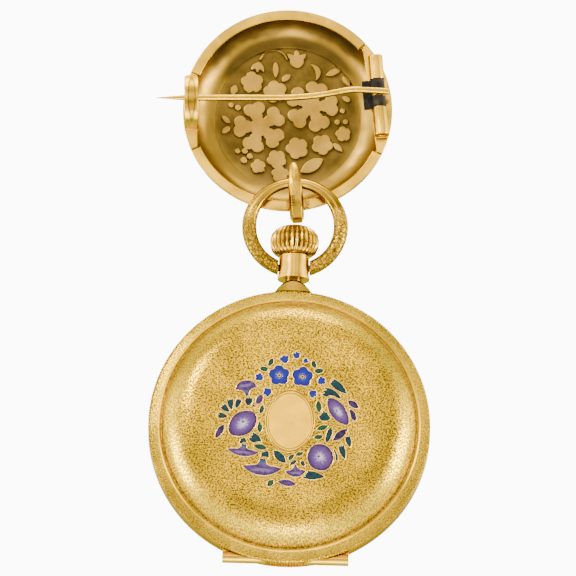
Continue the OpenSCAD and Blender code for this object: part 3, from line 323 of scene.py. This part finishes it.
def welded_copy(node, name):
    """A copy of a CAD node's mesh with its triangles joined, left selected in object mode."""
    obj = bpy.data.objects.new(name, frame["nodes"][node].data.copy())
    bpy.context.scene.collection.objects.link(obj)
    only(obj)
    bpy.ops.object.mode_set(mode="EDIT")
    bpy.ops.mesh.select_all(action="SELECT")
    bpy.ops.mesh.remove_doubles(threshold=WELD)
    bpy.ops.object.mode_set(mode="OBJECT")
    return obj


def paint(obj, material):
    """Gives an object one material in place of those it has."""
    obj.data.materials.clear()
    obj.data.materials.append(material)


def dressed_copy(node, material, angle=30.0):
    """A copy of a CAD node, joined and shaded smooth under an angle in degrees, which stands for the node."""
    obj = welded_copy(node, f"{node}_dressed")
    if obj.data.has_custom_normals:
        bpy.ops.mesh.customdata_custom_splitnormals_clear()
    bpy.ops.object.shade_smooth_by_angle(angle=math.radians(angle))
    paint(obj, material)
    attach(obj, BODY_OF[node])
    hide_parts(node)


def repaint(node, material):
    """Gives a CAD node a better material."""
    paint(frame["nodes"][node], material)


def stipple(f, size, across, up):
    """Height, 0 to 1, of the worm-like ridges of the stippled ground, struck square to the face."""
    place = f.add("ShaderNodeCombineXYZ", None, (across, up, 0.0))
    inputs = {"Vector": place, "Scale": 1.0 / size, "Detail": 0.0, "Distortion": 0.6}
    worms = f.add("ShaderNodeTexNoise", {"noise_dimensions": "2D"}, inputs)
    inputs = {"Vector": place, "Scale": 0.62 / size}
    pits = f.add("ShaderNodeTexVoronoi", {"voronoi_dimensions": "2D", "feature": "F1"}, inputs)
    return (worms + pits * 0.45).rise(0.60, 0.76)


def gold_colours(gold, f, ridge):
    """Base colour of gold: painted shade in the pits, painted highlights on the ridges, and slow patches of
    both.
    """
    patches = f.noise(5.0, 2.0)
    low = f.mix(patches.rise(0.3, 0.7), shade(gold.yellow, 0.15), shade(gold.yellow, 0.24))
    high = f.mix(patches.rise(0.35, 0.65), tuple(gold.yellow), shade(gold.yellow, 1.5))
    return f.mix(ridge, low, high)


def cover_gold(gold, name, towards):
    """Stippled gold of a cover. Towards is 1 where its outside faces the pin side, and -1 where not."""
    f = Finish(name)
    across, up, _ = f.watch_place()
    r = radius(across, up)
    size = gold.stipple / MM
    facing = f.dot(f.facing, (0, -towards, 0))
    outside = facing.rise(-0.35, -0.15)
    rim = r.rise(16.45, 16.6)
    bead = r.within(16.42, 16.74, 0.05)
    ridge = stipple(f, size, across, up)
    fine = stipple(f, size * 0.8, across, up)
    smooth = (bead + (1.0 - outside)).smaller(1.0)
    # Faces on the case's edge are rubbed smooth, and the shoulder is smoother than the field and painted
    # paler, as painted light
    worn_and_painted_light = facing.rise(0.35, 0.10).larger(r.within(15.2, 16.2, 2.0) * 0.26)
    grain = (fine * rim + ridge * (1.0 - rim)) * (1.0 - smooth) * (1.0 - worn_and_painted_light) + worn_and_painted_light * 0.85
    mill = ((f.angle(across, up) * RIM_MILLING).sine() * 0.5 + 0.5) * r.rise(17.7, 17.85)
    colour = gold_colours(gold, f, grain * (1.0 - rim * 0.35) + smooth * 0.9 + rim * 0.12)
    # Painted light: a paler band on the shoulder, in place of the light it would otherwise mirror from the
    # studio
    colour = f.mix(r.within(15.3, 16.3, 1.8) * grain * 0.55, colour, (0.80, 0.56, 0.03))
    # Painted shade in the milled grooves round the rim, and in the hollows
    colour = f.mix(mill * 0.35, colour, tuple(gold.shadow))
    colour = f.mix(f.hollows(0.5).rise(0.75, 0.35) * 0.40, colour, tuple(gold.shadow))
    rough = 0.40 - grain * 0.12 - (1.0 - outside) * 0.16
    normal = f.bump(grain, 0.045, f.bump(mill, 0.09))
    return f.finish(colour, rough, normal)


def polished_gold(gold, name, colour=None, scratch=1.0):
    """Polished gold with fine scratches, warmer patches, and painted shade in the corners and on faces that
    look down.

    Gives the finish with the colour, roughness and normal that its caller works on and finishes.
    """
    f = Finish(name)
    base = tuple(colour or gold.pale)
    patches = f.noise(2.4, 3.0, 0.6)
    worn_and_painted_light = f.mix(patches.rise(0.35, 0.7), shade(base, 0.78), base)
    # Painted shade in the hollows, and on faces that look down
    worn_and_painted_light = f.mix(f.hollows(0.6).rise(0.80, 0.30) * 0.85, worn_and_painted_light, tuple(gold.shadow))
    worn_and_painted_light = f.mix(f.dot(f.facing, DOWN).rise(0.45, 0.90) * 0.85, worn_and_painted_light, UNDERSIDE_SHADE_GOLD)
    fine = f.noise(0.16, 4.0, 0.7)
    waves = f.noise(3.5, 1.0)
    rough = 0.14 + patches * 0.10 + fine * 0.06
    return f, worn_and_painted_light, rough, f.bump(fine, 0.004 * scratch, f.bump(waves, 0.12, f.rounded(0.08, 4)))


# Places on the brooch in millimetres, from its middle on the face of the lip: radii of the dish, of the
# stippled front and of the field of flowers, heights of the back of the lip and of the flowers' flat tops,
# the middle of the hook across, and the middle and half sizes of the slot in the catch
DISH_R = 12.5
FRONT_R = 12.8
FLOWERS_R = 9.1
LIP_BACK = -0.56
FLOWER_TOPS = -3.46
HOOK_ACROSS = 1.3
SLOT_CENTRE = (-12.3, 1.05)
SLOT_HALF = (0.5, 2.9)


def dish_wall(f, across, up):
    """Colour of the dish's wall, painted darker towards its top as painted shade, in dark bands that run
    round it.
    """
    r = radius(across, up)
    cloud = f.noise(4.5, 2.0, 0.55)
    high = (up / r.larger(1.0)).rise(0.15, 0.95)
    bands = ((r + cloud * 1.4) * 3.1 + (f.angle(across, up) * 3.0).sine() * 0.4).sine() * 0.5 + 0.5
    brown = (cloud * 0.8 + high * (0.45 + bands * 0.55) - 0.40).rise(0.05, 0.75)
    return f.mix(brown, (0.350, 0.196, 0.018), (0.085, 0.050, 0.008))


def brooch_gold(gold):
    """Gold of the brooch: polished lip, dish with painted shade towards the top of its wall, pale flowers on
    a dark ground, and stippled front.
    """
    f = Finish("brooch_gold")
    across, up, out = f.brooch_place()
    r = radius(across, up)
    shadow = tuple(gold.shadow)
    patches = f.noise(3.0, 3.0, 0.6)
    fine = f.noise(0.2, 4.0, 0.7)
    behind_lip = out.rise(LIP_BACK + 0.06, LIP_BACK - 0.06)
    front = f.dot(f.facing, (0, 1, 0)).rise(0.02, 0.12) * behind_lip * r.rise(FRONT_R + 0.1, FRONT_R - 0.1)
    inside = behind_lip * r.rise(DISH_R + 0.1, DISH_R - 0.1) * (1.0 - front)
    floor = inside * r.rise(10.9, 8.3)
    tops = out.rise(FLOWER_TOPS - 0.04, FLOWER_TOPS + 0.04)
    tops = inside * r.rise(FLOWERS_R + 0.05, FLOWERS_R - 0.05) * tops
    ground = floor * (1.0 - tops)
    dark = f.mix(patches.rise(0.3, 0.7), (0.076, 0.045, 0.006), (0.160, 0.094, 0.015))
    # Painted light: the dark ground is lighter towards the bottom of the dish
    dark = f.mix((up + r * 0.35).rise(-3.5, -7.0) * 0.7, dark, (0.279, 0.152, 0.037))
    bright = f.mix(patches.rise(0.3, 0.75), (0.310, 0.168, 0.019), (0.430, 0.237, 0.033))
    grain = stipple(f, gold.stipple / MM, across, up) * front
    lip_patches = f.noise(6.0, 3.0, 0.6).rise(0.35, 0.65)
    colour = f.mix(lip_patches, shade(gold.pale, 0.62), shade(gold.pale, 1.12))
    colour = f.mix(inside, colour, dish_wall(f, across, up))
    colour = f.mix(ground, colour, dark)
    colour = f.mix(tops, colour, bright)
    colour = f.mix(front, colour, gold_colours(gold, f, grain))
    # Painted shade in the corners, deeper on the dish's floor and lighter at the ring round its edge
    corners = f.hollows(0.7, 12) + r.within(8.9, 10.2, 0.3) * 0.25
    colour = f.mix(corners.rise(0.92, 0.40) * (0.50 + floor * 0.45), colour, shadow)
    # Brown solder marks beside the hook
    beside = abs(across - HOOK_ACROSS).within(0.5, 1.35, 0.3)
    marks = beside * up.within(-13.4, -12.2, 0.3) * out.rise(-0.9, -0.3)
    colour = f.mix(marks * fine.rise(0.35, 0.60) * 0.9, colour, (0.10, 0.038, 0.005))
    # Painted shade on faces that look down
    under = f.dot(f.facing, DOWN).rise(0.35, 0.85) * out.rise(0.2, 0.4)
    colour = f.mix(under * 0.9, colour, UNDERSIDE_SHADE_GOLD)
    # Painted shade of a slot down the rolled catch, where the pin's point goes in
    slot = radius((across - SLOT_CENTRE[0]) / SLOT_HALF[0], (up - SLOT_CENTRE[1]) / SLOT_HALF[1])
    catch = across.rise(-11.3, -11.45) * out.rise(0.3, 0.5)
    colour = f.mix(slot.within(0.78, 1.0, 0.08) * catch * 0.75, colour, shadow)
    colour = f.mix(slot.rise(0.85, 0.6) * catch * 0.45, colour, (0.20, 0.10, 0.012))
    rough = 0.17 + patches * 0.10 + fine * 0.05
    rough = rough + inside * 0.10 + tops * 0.04 + ground * 0.12 + grain * 0.1
    waves = f.noise(3.2, 1.0)
    normal = f.bump(grain, 0.05, f.bump(fine, 0.006, f.bump(waves, 0.22, f.rounded(0.20, 8))))
    return f.finish(colour, rough, normal)


class WATCHPIN_OT_brooch(bpy.types.Operator):
    """Brooch: its gold, the rods of both hinges and the enamel of its front"""

    bl_idname = "watchpin.brooch"
    bl_label = "Brooch"

    def execute(self, context):
        gold = context.scene.watchpin_gold
        enamel = context.scene.watchpin_enamel
        dressed_copy("brooch", brooch_gold(gold), 35.0)
        f, worn_and_painted_light, rough, normal = polished_gold(gold, "hinge_rod_gold")
        rod_gold = f.finish(worn_and_painted_light, rough, normal)
        repaint("brooch_hinge_rod", rod_gold)
        repaint("case_hinge_rod", rod_gold)
        tints = {"front_roses": enamel.violet, "front_blossoms": enamel.blue, "front_leaves": enamel.leaf}
        for node, tint in tints.items():
            f = Finish(f"{node}_enamel")
            cloud = f.noise(1.6)
            colour = f.mix(cloud.rise(0.45, 0.75), tuple(tint), shade(tint, 2.2, 0.01))
            repaint(node, enamelled(f, colour, cloud, f.bump(cloud, 0.02)))
        return {"FINISHED"}


class WATCHPIN_OT_pin(bpy.types.Operator):
    """Pale gold of the pin, blackened at its knuckle"""

    bl_idname = "watchpin.pin"
    bl_label = "Pin"

    def execute(self, context):
        gold = context.scene.watchpin_gold
        f, worn_and_painted_light, rough, normal = polished_gold(gold, "pin_gold", shade(gold.pale, 1.03))
        across, up, out = f.brooch_place()
        # The wire stays bright where it is soldered on the blackened knuckle
        wire = up.within(1.56, 2.30, 0.06) * out.rise(1.2, 1.5)
        black = across.rise(9.3, 9.6) * (1.0 - wire)
        soot = f.noise(0.7, 3.0, 0.6)
        dull = f.mix(soot.rise(0.4, 0.75), (0.004, 0.005, 0.009), (0.030, 0.018, 0.010))
        colour = f.mix(black, worn_and_painted_light, dull)
        scaly = f.bump(soot, 0.06, normal)
        material = f.finish(colour, rough + black * 0.28, scaly, 1.0 - black * 0.92, specular=0.12)
        dressed_copy("pin_stem", material, 40.0)
        return {"FINISHED"}


class WATCHPIN_OT_bow(bpy.types.Operator):
    """Bow: polished at the top, chased with leaves and scrolls on its lower half"""

    bl_idname = "watchpin.bow"
    bl_label = "Bow"

    def execute(self, context):
        gold = context.scene.watchpin_gold
        f, worn_and_painted_light, rough, normal = polished_gold(gold, "bow_gold")
        across, up, out = f.watch_place()
        up = up - BOW_UP
        # Turn is the angle from the top of the bow, and around the angle round its wire
        turn = abs(f.angle(up, across))
        around = f.angle(radius(across, up) - BOW_RING, out)
        chased = turn.rise(1.05, 1.6)
        # Reeded lines run along the wire over the shoulders, and leaves and scrolls cover its lower half
        reeds = ((around * 7.0).sine() * 0.5 + 0.5) * turn.within(0.75, 1.5, 0.25)
        leaves = f.cells(0.62).rise(0.02, 0.12)
        veins = f.noise(0.30, 1.0, 0.6, 2.0).rise(0.42, 0.56)
        relief = leaves * (0.15 + veins * 0.85)
        # Painted shade in the recesses between the chased leaves, and in the grooves between the reeds
        colour = f.mix(chased * (1.0 - relief) * 0.95, worn_and_painted_light, tuple(gold.shadow))
        colour = f.mix(reeds * (1.0 - chased) * 0.55, colour, tuple(gold.shadow))
        height = relief * chased + reeds * (1.0 - chased) * -0.5
        material = f.finish(colour, rough + chased * 0.12, f.bump(height, 0.10, normal))
        dressed_copy("bow", material, 50.0)
        return {"FINISHED"}


class WATCHPIN_OT_crown(bpy.types.Operator):
    """Fluted crown, polished, with painted shade in its flutes"""

    bl_idname = "watchpin.crown"
    bl_label = "Crown"

    def execute(self, context):
        gold = context.scene.watchpin_gold
        f, worn_and_painted_light, rough, normal = polished_gold(gold, "crown_gold")
        across, up, out = f.watch_place()
        flutes = (f.angle(across, out) * CROWN_FLUTES).cosine()
        body = up.within(23.75, 26.55, 0.25) * radius(across, out).rise(1.7, 2.3)
        groove = flutes.rise(-0.1, 0.85) * body
        # Painted shade in the flutes
        colour = f.mix(groove * 0.85, worn_and_painted_light, tuple(gold.shadow))
        material = f.finish(colour, rough + groove * 0.1, f.bump(groove, -0.06, normal))
        dressed_copy("crown", material, 50.0)
        return {"FINISHED"}


def turned_rings(f, pace):
    """Fine rings round the middle of the case; pace is their phase in radians a millimetre."""
    across, up, _ = f.watch_place()
    return (radius(across, up) * pace).sine() * 0.5 + 0.5


class WATCHPIN_OT_case(bpy.types.Operator):
    """Case: stippled covers, polished pendant and the plain works inside"""

    bl_idname = "watchpin.case"
    bl_label = "Case"

    def execute(self, context):
        gold = context.scene.watchpin_gold
        dressed_copy("back_cover", cover_gold(gold, "back_cover_gold", 1.0))
        dressed_copy("front_cover", cover_gold(gold, "front_cover_gold", -1.0))
        f, worn_and_painted_light, rough, normal = polished_gold(gold, "band_gold")
        across, up, out = f.watch_place()
        # Painted shade round the sides of the pendant's foot, which makes it look domed
        foot = up.within(17.9, 19.5, 0.1) * radius(across, out).rise(0.5, 2.1)
        worn_and_painted_light = f.mix(foot * 0.8, worn_and_painted_light, tuple(gold.shadow))
        dressed_copy("case_band", f.finish(worn_and_painted_light, rough, normal), 35.0)
        f, worn_and_painted_light, rough, normal = polished_gold(gold, "dust_cover_gold", gold.yellow)
        rings = turned_rings(f, 14.0)
        dressed_copy("dust_cover", f.finish(worn_and_painted_light, rough, f.bump(rings, 0.012, normal)))
        f = Finish("works_brass")
        rings = turned_rings(f, 20.0)
        colour = f.mix(f.noise(2.0, 3.0).rise(0.3, 0.7), (0.50, 0.36, 0.15), (0.66, 0.50, 0.24))
        dressed_copy("movement", f.finish(colour, 0.3 + rings * 0.1, f.bump(rings, 0.02)))
        return {"FINISHED"}


# Middles of the morning glories on the watch and their half sizes, in millimetres, and their turns in degrees
GLORIES = {
    "glory_left": ((-5.9, -0.94), (1.55, 2.1), -48.0),
    "glory_right": ((6.21, 0.98), (1.05, 2.15), 36.0),
    "glory_low": ((4.11, -5.15), (1.7, 1.85), 20.0),
}
# Middles of the trumpets' mouths, their widths and heights, and their turns
TRUMPETS = {
    "trumpet_side": ((-5.58, 3.72), (2.9, 2.2), 190.0),
    "trumpet_crescent": ((-5.71, -4.45), (4.3, 1.7), -5.0),
    "trumpet_long": ((-3.25, -6.6), (5.2, 2.3), -3.0),
    "trumpet_small": ((1.0, -7.0), (2.7, 1.7), 4.0),
}
# Middles and turns of the forget-me-nots
FORGET_ME_NOTS = (((-1.42, 5.56), 4.0), ((1.54, 5.45), -6.0))


def petal_place(f, middle, turn):
    """Across and up of a flower, from its middle and turned with it, in millimetres."""
    across, up, _ = f.watch_place()
    cosine, sine = math.cos(math.radians(turn)), math.sin(math.radians(turn))
    across = across - middle[0]
    up = up - middle[1]
    return across * cosine + up * sine, up * cosine - across * sine


def enamelled(f, colour, cloud, normal):
    """Glossy enamel with a faint cloudiness in its shine."""
    return f.finish(colour, 0.16 + cloud * 0.12, normal, metallic=0.0, coat=0.04, specular=0.08)


def paint_glory(node, middle, half, turn, violet):
    """Morning glory seen from the front: a pale star in its throat and a dark edge."""
    f = Finish(f"{node}_enamel")
    across, up = petal_place(f, middle, turn)
    across, up = across / half[0], up / half[1]
    cloud = f.noise(0.5, 3.0, 0.6)
    far = radius(across, up)
    star = (f.angle(across, up) * 10.0 + cloud * 5.0).cosine() * 0.5 + 0.5
    pale = (far + cloud * 0.40 - star * 0.12).rise(0.66, 0.05)
    colour = f.mix(far.rise(0.45, 0.95), (0.060, 0.027, 0.105), violet)
    colour = f.mix(cloud.rise(0.48, 0.72) * 0.6, colour, (0.085, 0.030, 0.090))
    colour = f.mix(pale * 0.85, colour, (0.42, 0.34, 0.36))
    colour = f.mix(far.rise(0.80, 1.0) * 0.7, colour, (0.009, 0.003, 0.022))
    colour = f.mix(radius(across + 0.09, up - 0.09).rise(0.12, 0.05), colour, (0.02, 0.03, 0.01))
    repaint(node, enamelled(f, colour, cloud, f.bump(far, -0.10)))


def paint_trumpet(node, middle, size, turn, violet):
    """Morning glory seen from the side: a paler stripe across its mouth, and a greenish foot."""
    f = Finish(f"{node}_enamel")
    across, up = petal_place(f, middle, turn)
    width, height = size
    cloud = f.noise(0.5, 3.0, 0.6)
    stripe = radius(across / (width * 0.36), (up + height * 0.18) / (height * 0.14) + cloud - 0.5)
    colour = f.mix(cloud.rise(0.35, 0.7), violet, (0.062, 0.027, 0.100))
    colour = f.mix(abs(across).rise(width * 0.28, width * 0.5) * 0.75, colour, (0.014, 0.005, 0.038))
    colour = f.mix(stripe.rise(1.0, 0.3) * 0.35, colour, (0.19, 0.12, 0.24))
    colour = f.mix(up.rise(height * 0.05, height * 0.2) * 0.5, colour, (0.05, 0.06, 0.10))
    colour = f.mix(up.rise(height * 0.20, height * 0.42) * 0.9, colour, (0.002, 0.022, 0.022))
    repaint(node, enamelled(f, colour, cloud, f.bump(cloud, 0.03)))


def paint_forget_me_nots(blue):
    """Five blue petals with dark splits between them, darker edges and a lighter middle."""
    f = Finish("forget_me_not_enamel")
    colour = blue
    for middle, turn in FORGET_ME_NOTS:
        across, up = petal_place(f, middle, turn + 90.0)
        far = radius(across, up)
        near = far.rise(1.6, 1.5)
        split = abs((f.angle(across, up) * 2.5).cosine()).rise(0.30, 0.05) * near * far.rise(0.35, 0.6)
        colour = f.mix(far.rise(1.0, 1.4) * near * 0.8, colour, (0.008, 0.003, 0.060))
        colour = f.mix(split * 0.85, colour, (0.002, 0.003, 0.035))
        colour = f.mix(far.rise(0.95, 0.45) * near * 0.6, colour, (0.010, 0.022, 0.16))
    cloud = f.noise(0.4, 3.0, 0.6)
    colour = f.mix(cloud.rise(0.5, 0.8) * 0.5, colour, (0.007, 0.014, 0.16))
    repaint("forget_me_nots", enamelled(f, colour, cloud, f.bump(cloud, 0.03)))


def paint_eyes():
    """Eyes of the forget-me-nots: a dark dot in a yellow ring, and blue round it."""
    f = Finish("flower_eye_enamel")
    colour = (0.36, 0.27, 0.03)
    for middle, turn in FORGET_ME_NOTS:
        far = radius(*petal_place(f, middle, turn))
        colour = f.mix(far.rise(0.17, 0.12), colour, (0.03, 0.02, 0.005))
        colour = f.mix(far.within(0.27, 1.0, 0.05), colour, (0.006, 0.013, 0.125))
    speck = f.noise(0.2)
    repaint("forget_me_not_eyes", enamelled(f, colour, speck, f.bump(speck, 0.02)))


def paint_cartouche(gold):
    """Bare polished oval with two fine lines inside its border."""
    f, worn_and_painted_light, rough, normal = polished_gold(gold, "cartouche_gold", (1.0, 0.51, 0.001), 0.3)
    across, up = petal_place(f, CARTOUCHE_CENTRE, 0.0)
    oval = radius(across / CARTOUCHE_HALF[0], up / CARTOUCHE_HALF[1])
    lines = oval.within(0.945, 0.985, 0.012) + oval.within(0.875, 0.895, 0.012)
    colour = f.mix(lines * 0.9, worn_and_painted_light, (0.10, 0.05, 0.002))
    repaint("cartouche", f.finish(colour, rough + 0.10, f.bump(lines, -0.03, normal)))


class WATCHPIN_OT_wreath(bpy.types.Operator):
    """Enamel of the wreath, and the polished cartouche"""

    bl_idname = "watchpin.wreath"
    bl_label = "Wreath"

    def execute(self, context):
        enamel = context.scene.watchpin_enamel
        violet, blue = tuple(enamel.violet), tuple(enamel.blue)
        for node, (middle, half, turn) in GLORIES.items():
            paint_glory(node, middle, half, turn, violet)
        for node, (middle, size, turn) in TRUMPETS.items():
            paint_trumpet(node, middle, size, turn, violet)
        paint_forget_me_nots(blue)
        paint_eyes()
        clouded = (
            ("blue_buds", blue, (0.006, 0.012, 0.13)),
            ("green_leaves", (0.001, 0.020, 0.011), enamel.leaf),
            ("dark_leaves", enamel.dark_leaf, (0.0015, 0.006, 0.012)),
            ("purple_leaves", (0.004, 0.003, 0.012), (0.028, 0.010, 0.046)),
            ("purple_buds", (0.022, 0.009, 0.046), (0.046, 0.018, 0.074)),
        )
        for node, first, second in clouded:
            f = Finish(f"{node}_enamel")
            cloud = f.noise(0.6, 3.0, 0.6)
            colour = f.mix(cloud.rise(0.42, 0.62), tuple(first), tuple(second))
            repaint(node, enamelled(f, colour, cloud, f.bump(cloud, 0.04)))
        paint_cartouche(context.scene.watchpin_gold)
        return {"FINISHED"}


# Cells of the back that have a gold outline
CELL_NODES = (
    "cartouche", "forget_me_nots", "blue_buds", "glory_left", "glory_right", "glory_low", "trumpet_side",
    "trumpet_crescent", "trumpet_long", "trumpet_small", "purple_buds", "green_leaves", "dark_leaves",
    "purple_leaves",
)
# How far the middle of the outline lies under the field, and how flat a cell's top face is, in metres
OUTLINE_SINK = 0.02 * MM
TOP_FLATNESS = 0.02 * MM


def keep_top_outline(obj):
    """Leaves only the edges round the top faces of a mesh, at the height of the watch's field."""
    bpy.ops.object.mode_set(mode="EDIT")
    bpy.ops.mesh.select_mode(type="FACE")
    bpy.ops.mesh.select_all(action="DESELECT")
    bpy.ops.object.mode_set(mode="OBJECT")
    vertices = obj.data.vertices
    top = min(vertex.co.y for vertex in vertices)
    for face in obj.data.polygons:
        face.select = any(vertices[i].co.y > top + TOP_FLATNESS for i in face.vertices)
    bpy.ops.object.mode_set(mode="EDIT")
    bpy.ops.mesh.delete(type="FACE")
    bpy.ops.mesh.select_all(action="SELECT")
    bpy.ops.mesh.region_to_loop()
    bpy.ops.mesh.select_all(action="INVERT")
    bpy.ops.mesh.delete(type="EDGE_FACE")
    bpy.ops.mesh.select_all(action="SELECT")
    bpy.ops.mesh.delete(type="ONLY_FACE")
    bpy.ops.object.mode_set(mode="OBJECT")
    for vertex in obj.data.vertices:
        vertex.co.y = WATCH_CENTRE.y - FIELD_OUT * MM + OUTLINE_SINK


class WATCHPIN_OT_cell_wires(bpy.types.Operator):
    """Fine gold outline round every cell of the wreath"""

    bl_idname = "watchpin.cell_wires"
    bl_label = "Cell outlines"

    def execute(self, context):
        thickness = context.scene.watchpin_enamel.wire
        gold = context.scene.watchpin_gold
        f, worn_and_painted_light, rough, normal = polished_gold(gold, "outline_gold", (0.95, 0.56, 0.05), 0.5)
        # Blue enamel has run over the wire round each eye of the forget-me-nots
        for middle, turn in FORGET_ME_NOTS:
            far = radius(*petal_place(f, middle, turn))
            worn_and_painted_light = f.mix(far.rise(0.62, 0.54) * 0.85, worn_and_painted_light, (0.012, 0.030, 0.17))
        material = f.finish(worn_and_painted_light, rough, normal)
        for node in CELL_NODES:
            keep_top_outline(welded_copy(node, f"{node}_outline"))
            bpy.ops.object.convert(target="CURVE")
            curve = context.view_layer.objects.active
            curve.data.dimensions = "3D"
            curve.data.bevel_depth = thickness / 2
            curve.data.bevel_resolution = 1
            bpy.ops.object.convert(target="MESH")
            wire = context.view_layer.objects.active
            wire.name = f"{node}_outline"
            paint(wire, material)
            bpy.ops.object.shade_smooth()
            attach(wire, "cover")
        return {"FINISHED"}


# Middle of the picture, and the lights: place from that middle and size in metres, power in watts, and colour
PICTURE_CENTRE = Vector((0.05, 2.0, -24.87)) * MM
LIGHTS = {
    "key": ((-0.50, -0.60, 0.45), 0.30, 9.0, (1.0, 0.99, 0.96)),
    "fill": ((0.70, -0.30, -0.05), 0.25, 4.0, (1.0, 0.99, 0.97)),
    "left": ((-0.78, -0.10, -0.10), 0.40, 12.0, (1.0, 1.0, 1.0)),
    "right": ((0.78, -0.10, -0.05), 0.40, 12.0, (1.0, 1.0, 1.0)),
    "low": ((0.0, -0.35, -0.66), 0.40, 6.0, (1.0, 0.99, 0.97)),
    "top": ((0.05, -0.10, 0.70), 0.40, 5.0, (1.0, 1.0, 1.0)),
    "back": ((0.1, 0.70, 0.35), 0.5, 2.0, (1.0, 1.0, 1.0)),
}
# Brightness of the studio from straight below to straight above, and from its left to its right
SKY_BY_HEIGHT = (
    (0.0, 0.30), (0.36, 0.10), (0.49, 0.08), (0.58, 0.62), (0.68, 1.0), (0.79, 0.26), (1.0, 0.80),
)
SKY_BY_SIDE = (
    (0.0, 1.0), (0.08, 0.9), (0.18, 0.15), (0.28, 0.8), (0.38, 0.42), (0.5, 1.0),
    (0.62, 0.38), (0.72, 0.8), (0.82, 0.15), (0.92, 0.9), (1.0, 1.0),
)
STUDIO_STRENGTH = 6.2
BACKDROP_STRENGTH = 11.0
FLOOR_HEIGHT = -0.80
FLOOR_SIZE = 12.0


class WATCHPIN_OT_stage(bpy.types.Operator):
    """Pale floor far below, soft light and the camera"""

    bl_idname = "watchpin.stage"
    bl_label = "Stage"

    def execute(self, context):
        settings = context.scene.watchpin_stage
        back = Vector((0.0, -math.cos(settings.elevation), math.sin(settings.elevation)))
        data = bpy.data.cameras.new("camera")
        data.lens = data.sensor_width * settings.distance / settings.view_height
        data.clip_start = 0.01
        camera = bpy.data.objects.new("camera", data)
        camera.location = PICTURE_CENTRE + back * settings.distance
        camera.rotation_euler = (-back).to_track_quat("-Z", "Y").to_euler()
        context.scene.collection.objects.link(camera)
        context.scene.camera = camera
        bpy.ops.object.select_all(action="DESELECT")
        bpy.ops.mesh.primitive_plane_add(size=FLOOR_SIZE, location=(0.0, 0.0, FLOOR_HEIGHT))
        floor = context.view_layer.objects.active
        floor.name = "floor"
        f = Finish("floor_paper")
        fine = f.noise(3.0)
        paper = f.finish((0.86, 0.86, 0.86), 0.8 + fine * 0.1, f.bump(fine, 0.02), metallic=0.0)
        floor.data.materials.append(paper)
        for name, (place, size, power, colour) in LIGHTS.items():
            data = bpy.data.lights.new(name, "AREA")
            data.size = size
            data.energy = power
            data.color = colour
            lamp = bpy.data.objects.new(name, data)
            lamp.location = PICTURE_CENTRE + Vector(place)
            lamp.rotation_euler = (PICTURE_CENTRE - lamp.location).to_track_quat("-Z", "Y").to_euler()
            context.scene.collection.objects.link(lamp)
        self.light_world(context)
        return {"FINISHED"}

    def light_world(self, context):
        """White where the camera sees it, and elsewhere a studio with bright and dark panels for the gold."""
        world = bpy.data.worlds.new("studio")
        world.use_nodes = True
        context.scene.world = world
        nodes, links = world.node_tree.nodes, world.node_tree.links
        nodes.clear()
        coordinates = nodes.new("ShaderNodeTexCoord")
        split = nodes.new("ShaderNodeSeparateXYZ")
        links.new(coordinates.outputs["Generated"], split.inputs[0])
        lit = nodes.new("ShaderNodeVectorMath")
        lit.operation = "MULTIPLY"
        for index, (axis, levels, blue) in enumerate((("Z", SKY_BY_HEIGHT, 0.98), ("X", SKY_BY_SIDE, 1.0))):
            scale = nodes.new("ShaderNodeMapRange")
            scale.inputs["From Min"].default_value = -1.0
            links.new(split.outputs[axis], scale.inputs["Value"])
            ramp = nodes.new("ShaderNodeValToRGB")
            stops = ramp.color_ramp.elements
            while len(stops) < len(levels):
                stops.new(1.0)
            for stop, (place, level) in zip(stops, levels):
                stop.position = place
                stop.color = (level, level, level * blue, 1.0)
            links.new(scale.outputs[0], ramp.inputs[0])
            links.new(ramp.outputs[0], lit.inputs[index])
        around = nodes.new("ShaderNodeBackground")
        around.inputs["Strength"].default_value = STUDIO_STRENGTH
        links.new(lit.outputs[0], around.inputs["Color"])
        seen = nodes.new("ShaderNodeBackground")
        seen.inputs["Color"].default_value = (1.0, 1.0, 1.0, 1.0)
        seen.inputs["Strength"].default_value = BACKDROP_STRENGTH
        path = nodes.new("ShaderNodeLightPath")
        mix = nodes.new("ShaderNodeMixShader")
        links.new(path.outputs["Is Camera Ray"], mix.inputs[0])
        links.new(around.outputs[0], mix.inputs[1])
        links.new(seen.outputs[0], mix.inputs[2])
        output = nodes.new("ShaderNodeOutputWorld")
        links.new(mix.outputs[0], output.inputs["Surface"])


class WATCHPIN_PT_panel(bpy.types.Panel):
    """Lists the steps and their settings."""

    bl_idname = "WATCHPIN_PT_panel"
    bl_label = "Watch pin"
    bl_space_type = "VIEW_3D"
    bl_region_type = "UI"
    bl_category = "Watch pin"

    def draw(self, context):
        scene = context.scene
        for settings in (scene.watchpin_gold, scene.watchpin_enamel, scene.watchpin_stage):
            box = self.layout.box()
            for name in type(settings).__annotations__:
                box.prop(settings, name)
        for step in STEPS:
            self.layout.operator(step.bl_idname)


SETTINGS = (
    ("watchpin_gold", GoldSettings),
    ("watchpin_enamel", EnamelSettings),
    ("watchpin_stage", StageSettings),
)
STEPS = (
    WATCHPIN_OT_stage,
    WATCHPIN_OT_brooch,
    WATCHPIN_OT_pin,
    WATCHPIN_OT_bow,
    WATCHPIN_OT_crown,
    WATCHPIN_OT_case,
    WATCHPIN_OT_wreath,
    WATCHPIN_OT_cell_wires,
)


def register():
    for name, group in SETTINGS:
        bpy.utils.register_class(group)
        setattr(bpy.types.Scene, name, bpy.props.PointerProperty(type=group))
    for step in STEPS:
        bpy.utils.register_class(step)
    bpy.utils.register_class(WATCHPIN_PT_panel)


def unregister():
    bpy.utils.unregister_class(WATCHPIN_PT_panel)
    for step in reversed(STEPS):
        bpy.utils.unregister_class(step)
    for name, group in reversed(SETTINGS):
        delattr(bpy.types.Scene, name)
        bpy.utils.unregister_class(group)


def main():
    register()
    for step in STEPS:
        group, name = step.bl_idname.split(".")
        if getattr(getattr(bpy.ops, group), name)() != {"FINISHED"}:
            raise RuntimeError(f"{step.bl_label} did not finish")


if __name__ == "__main__":
    main()
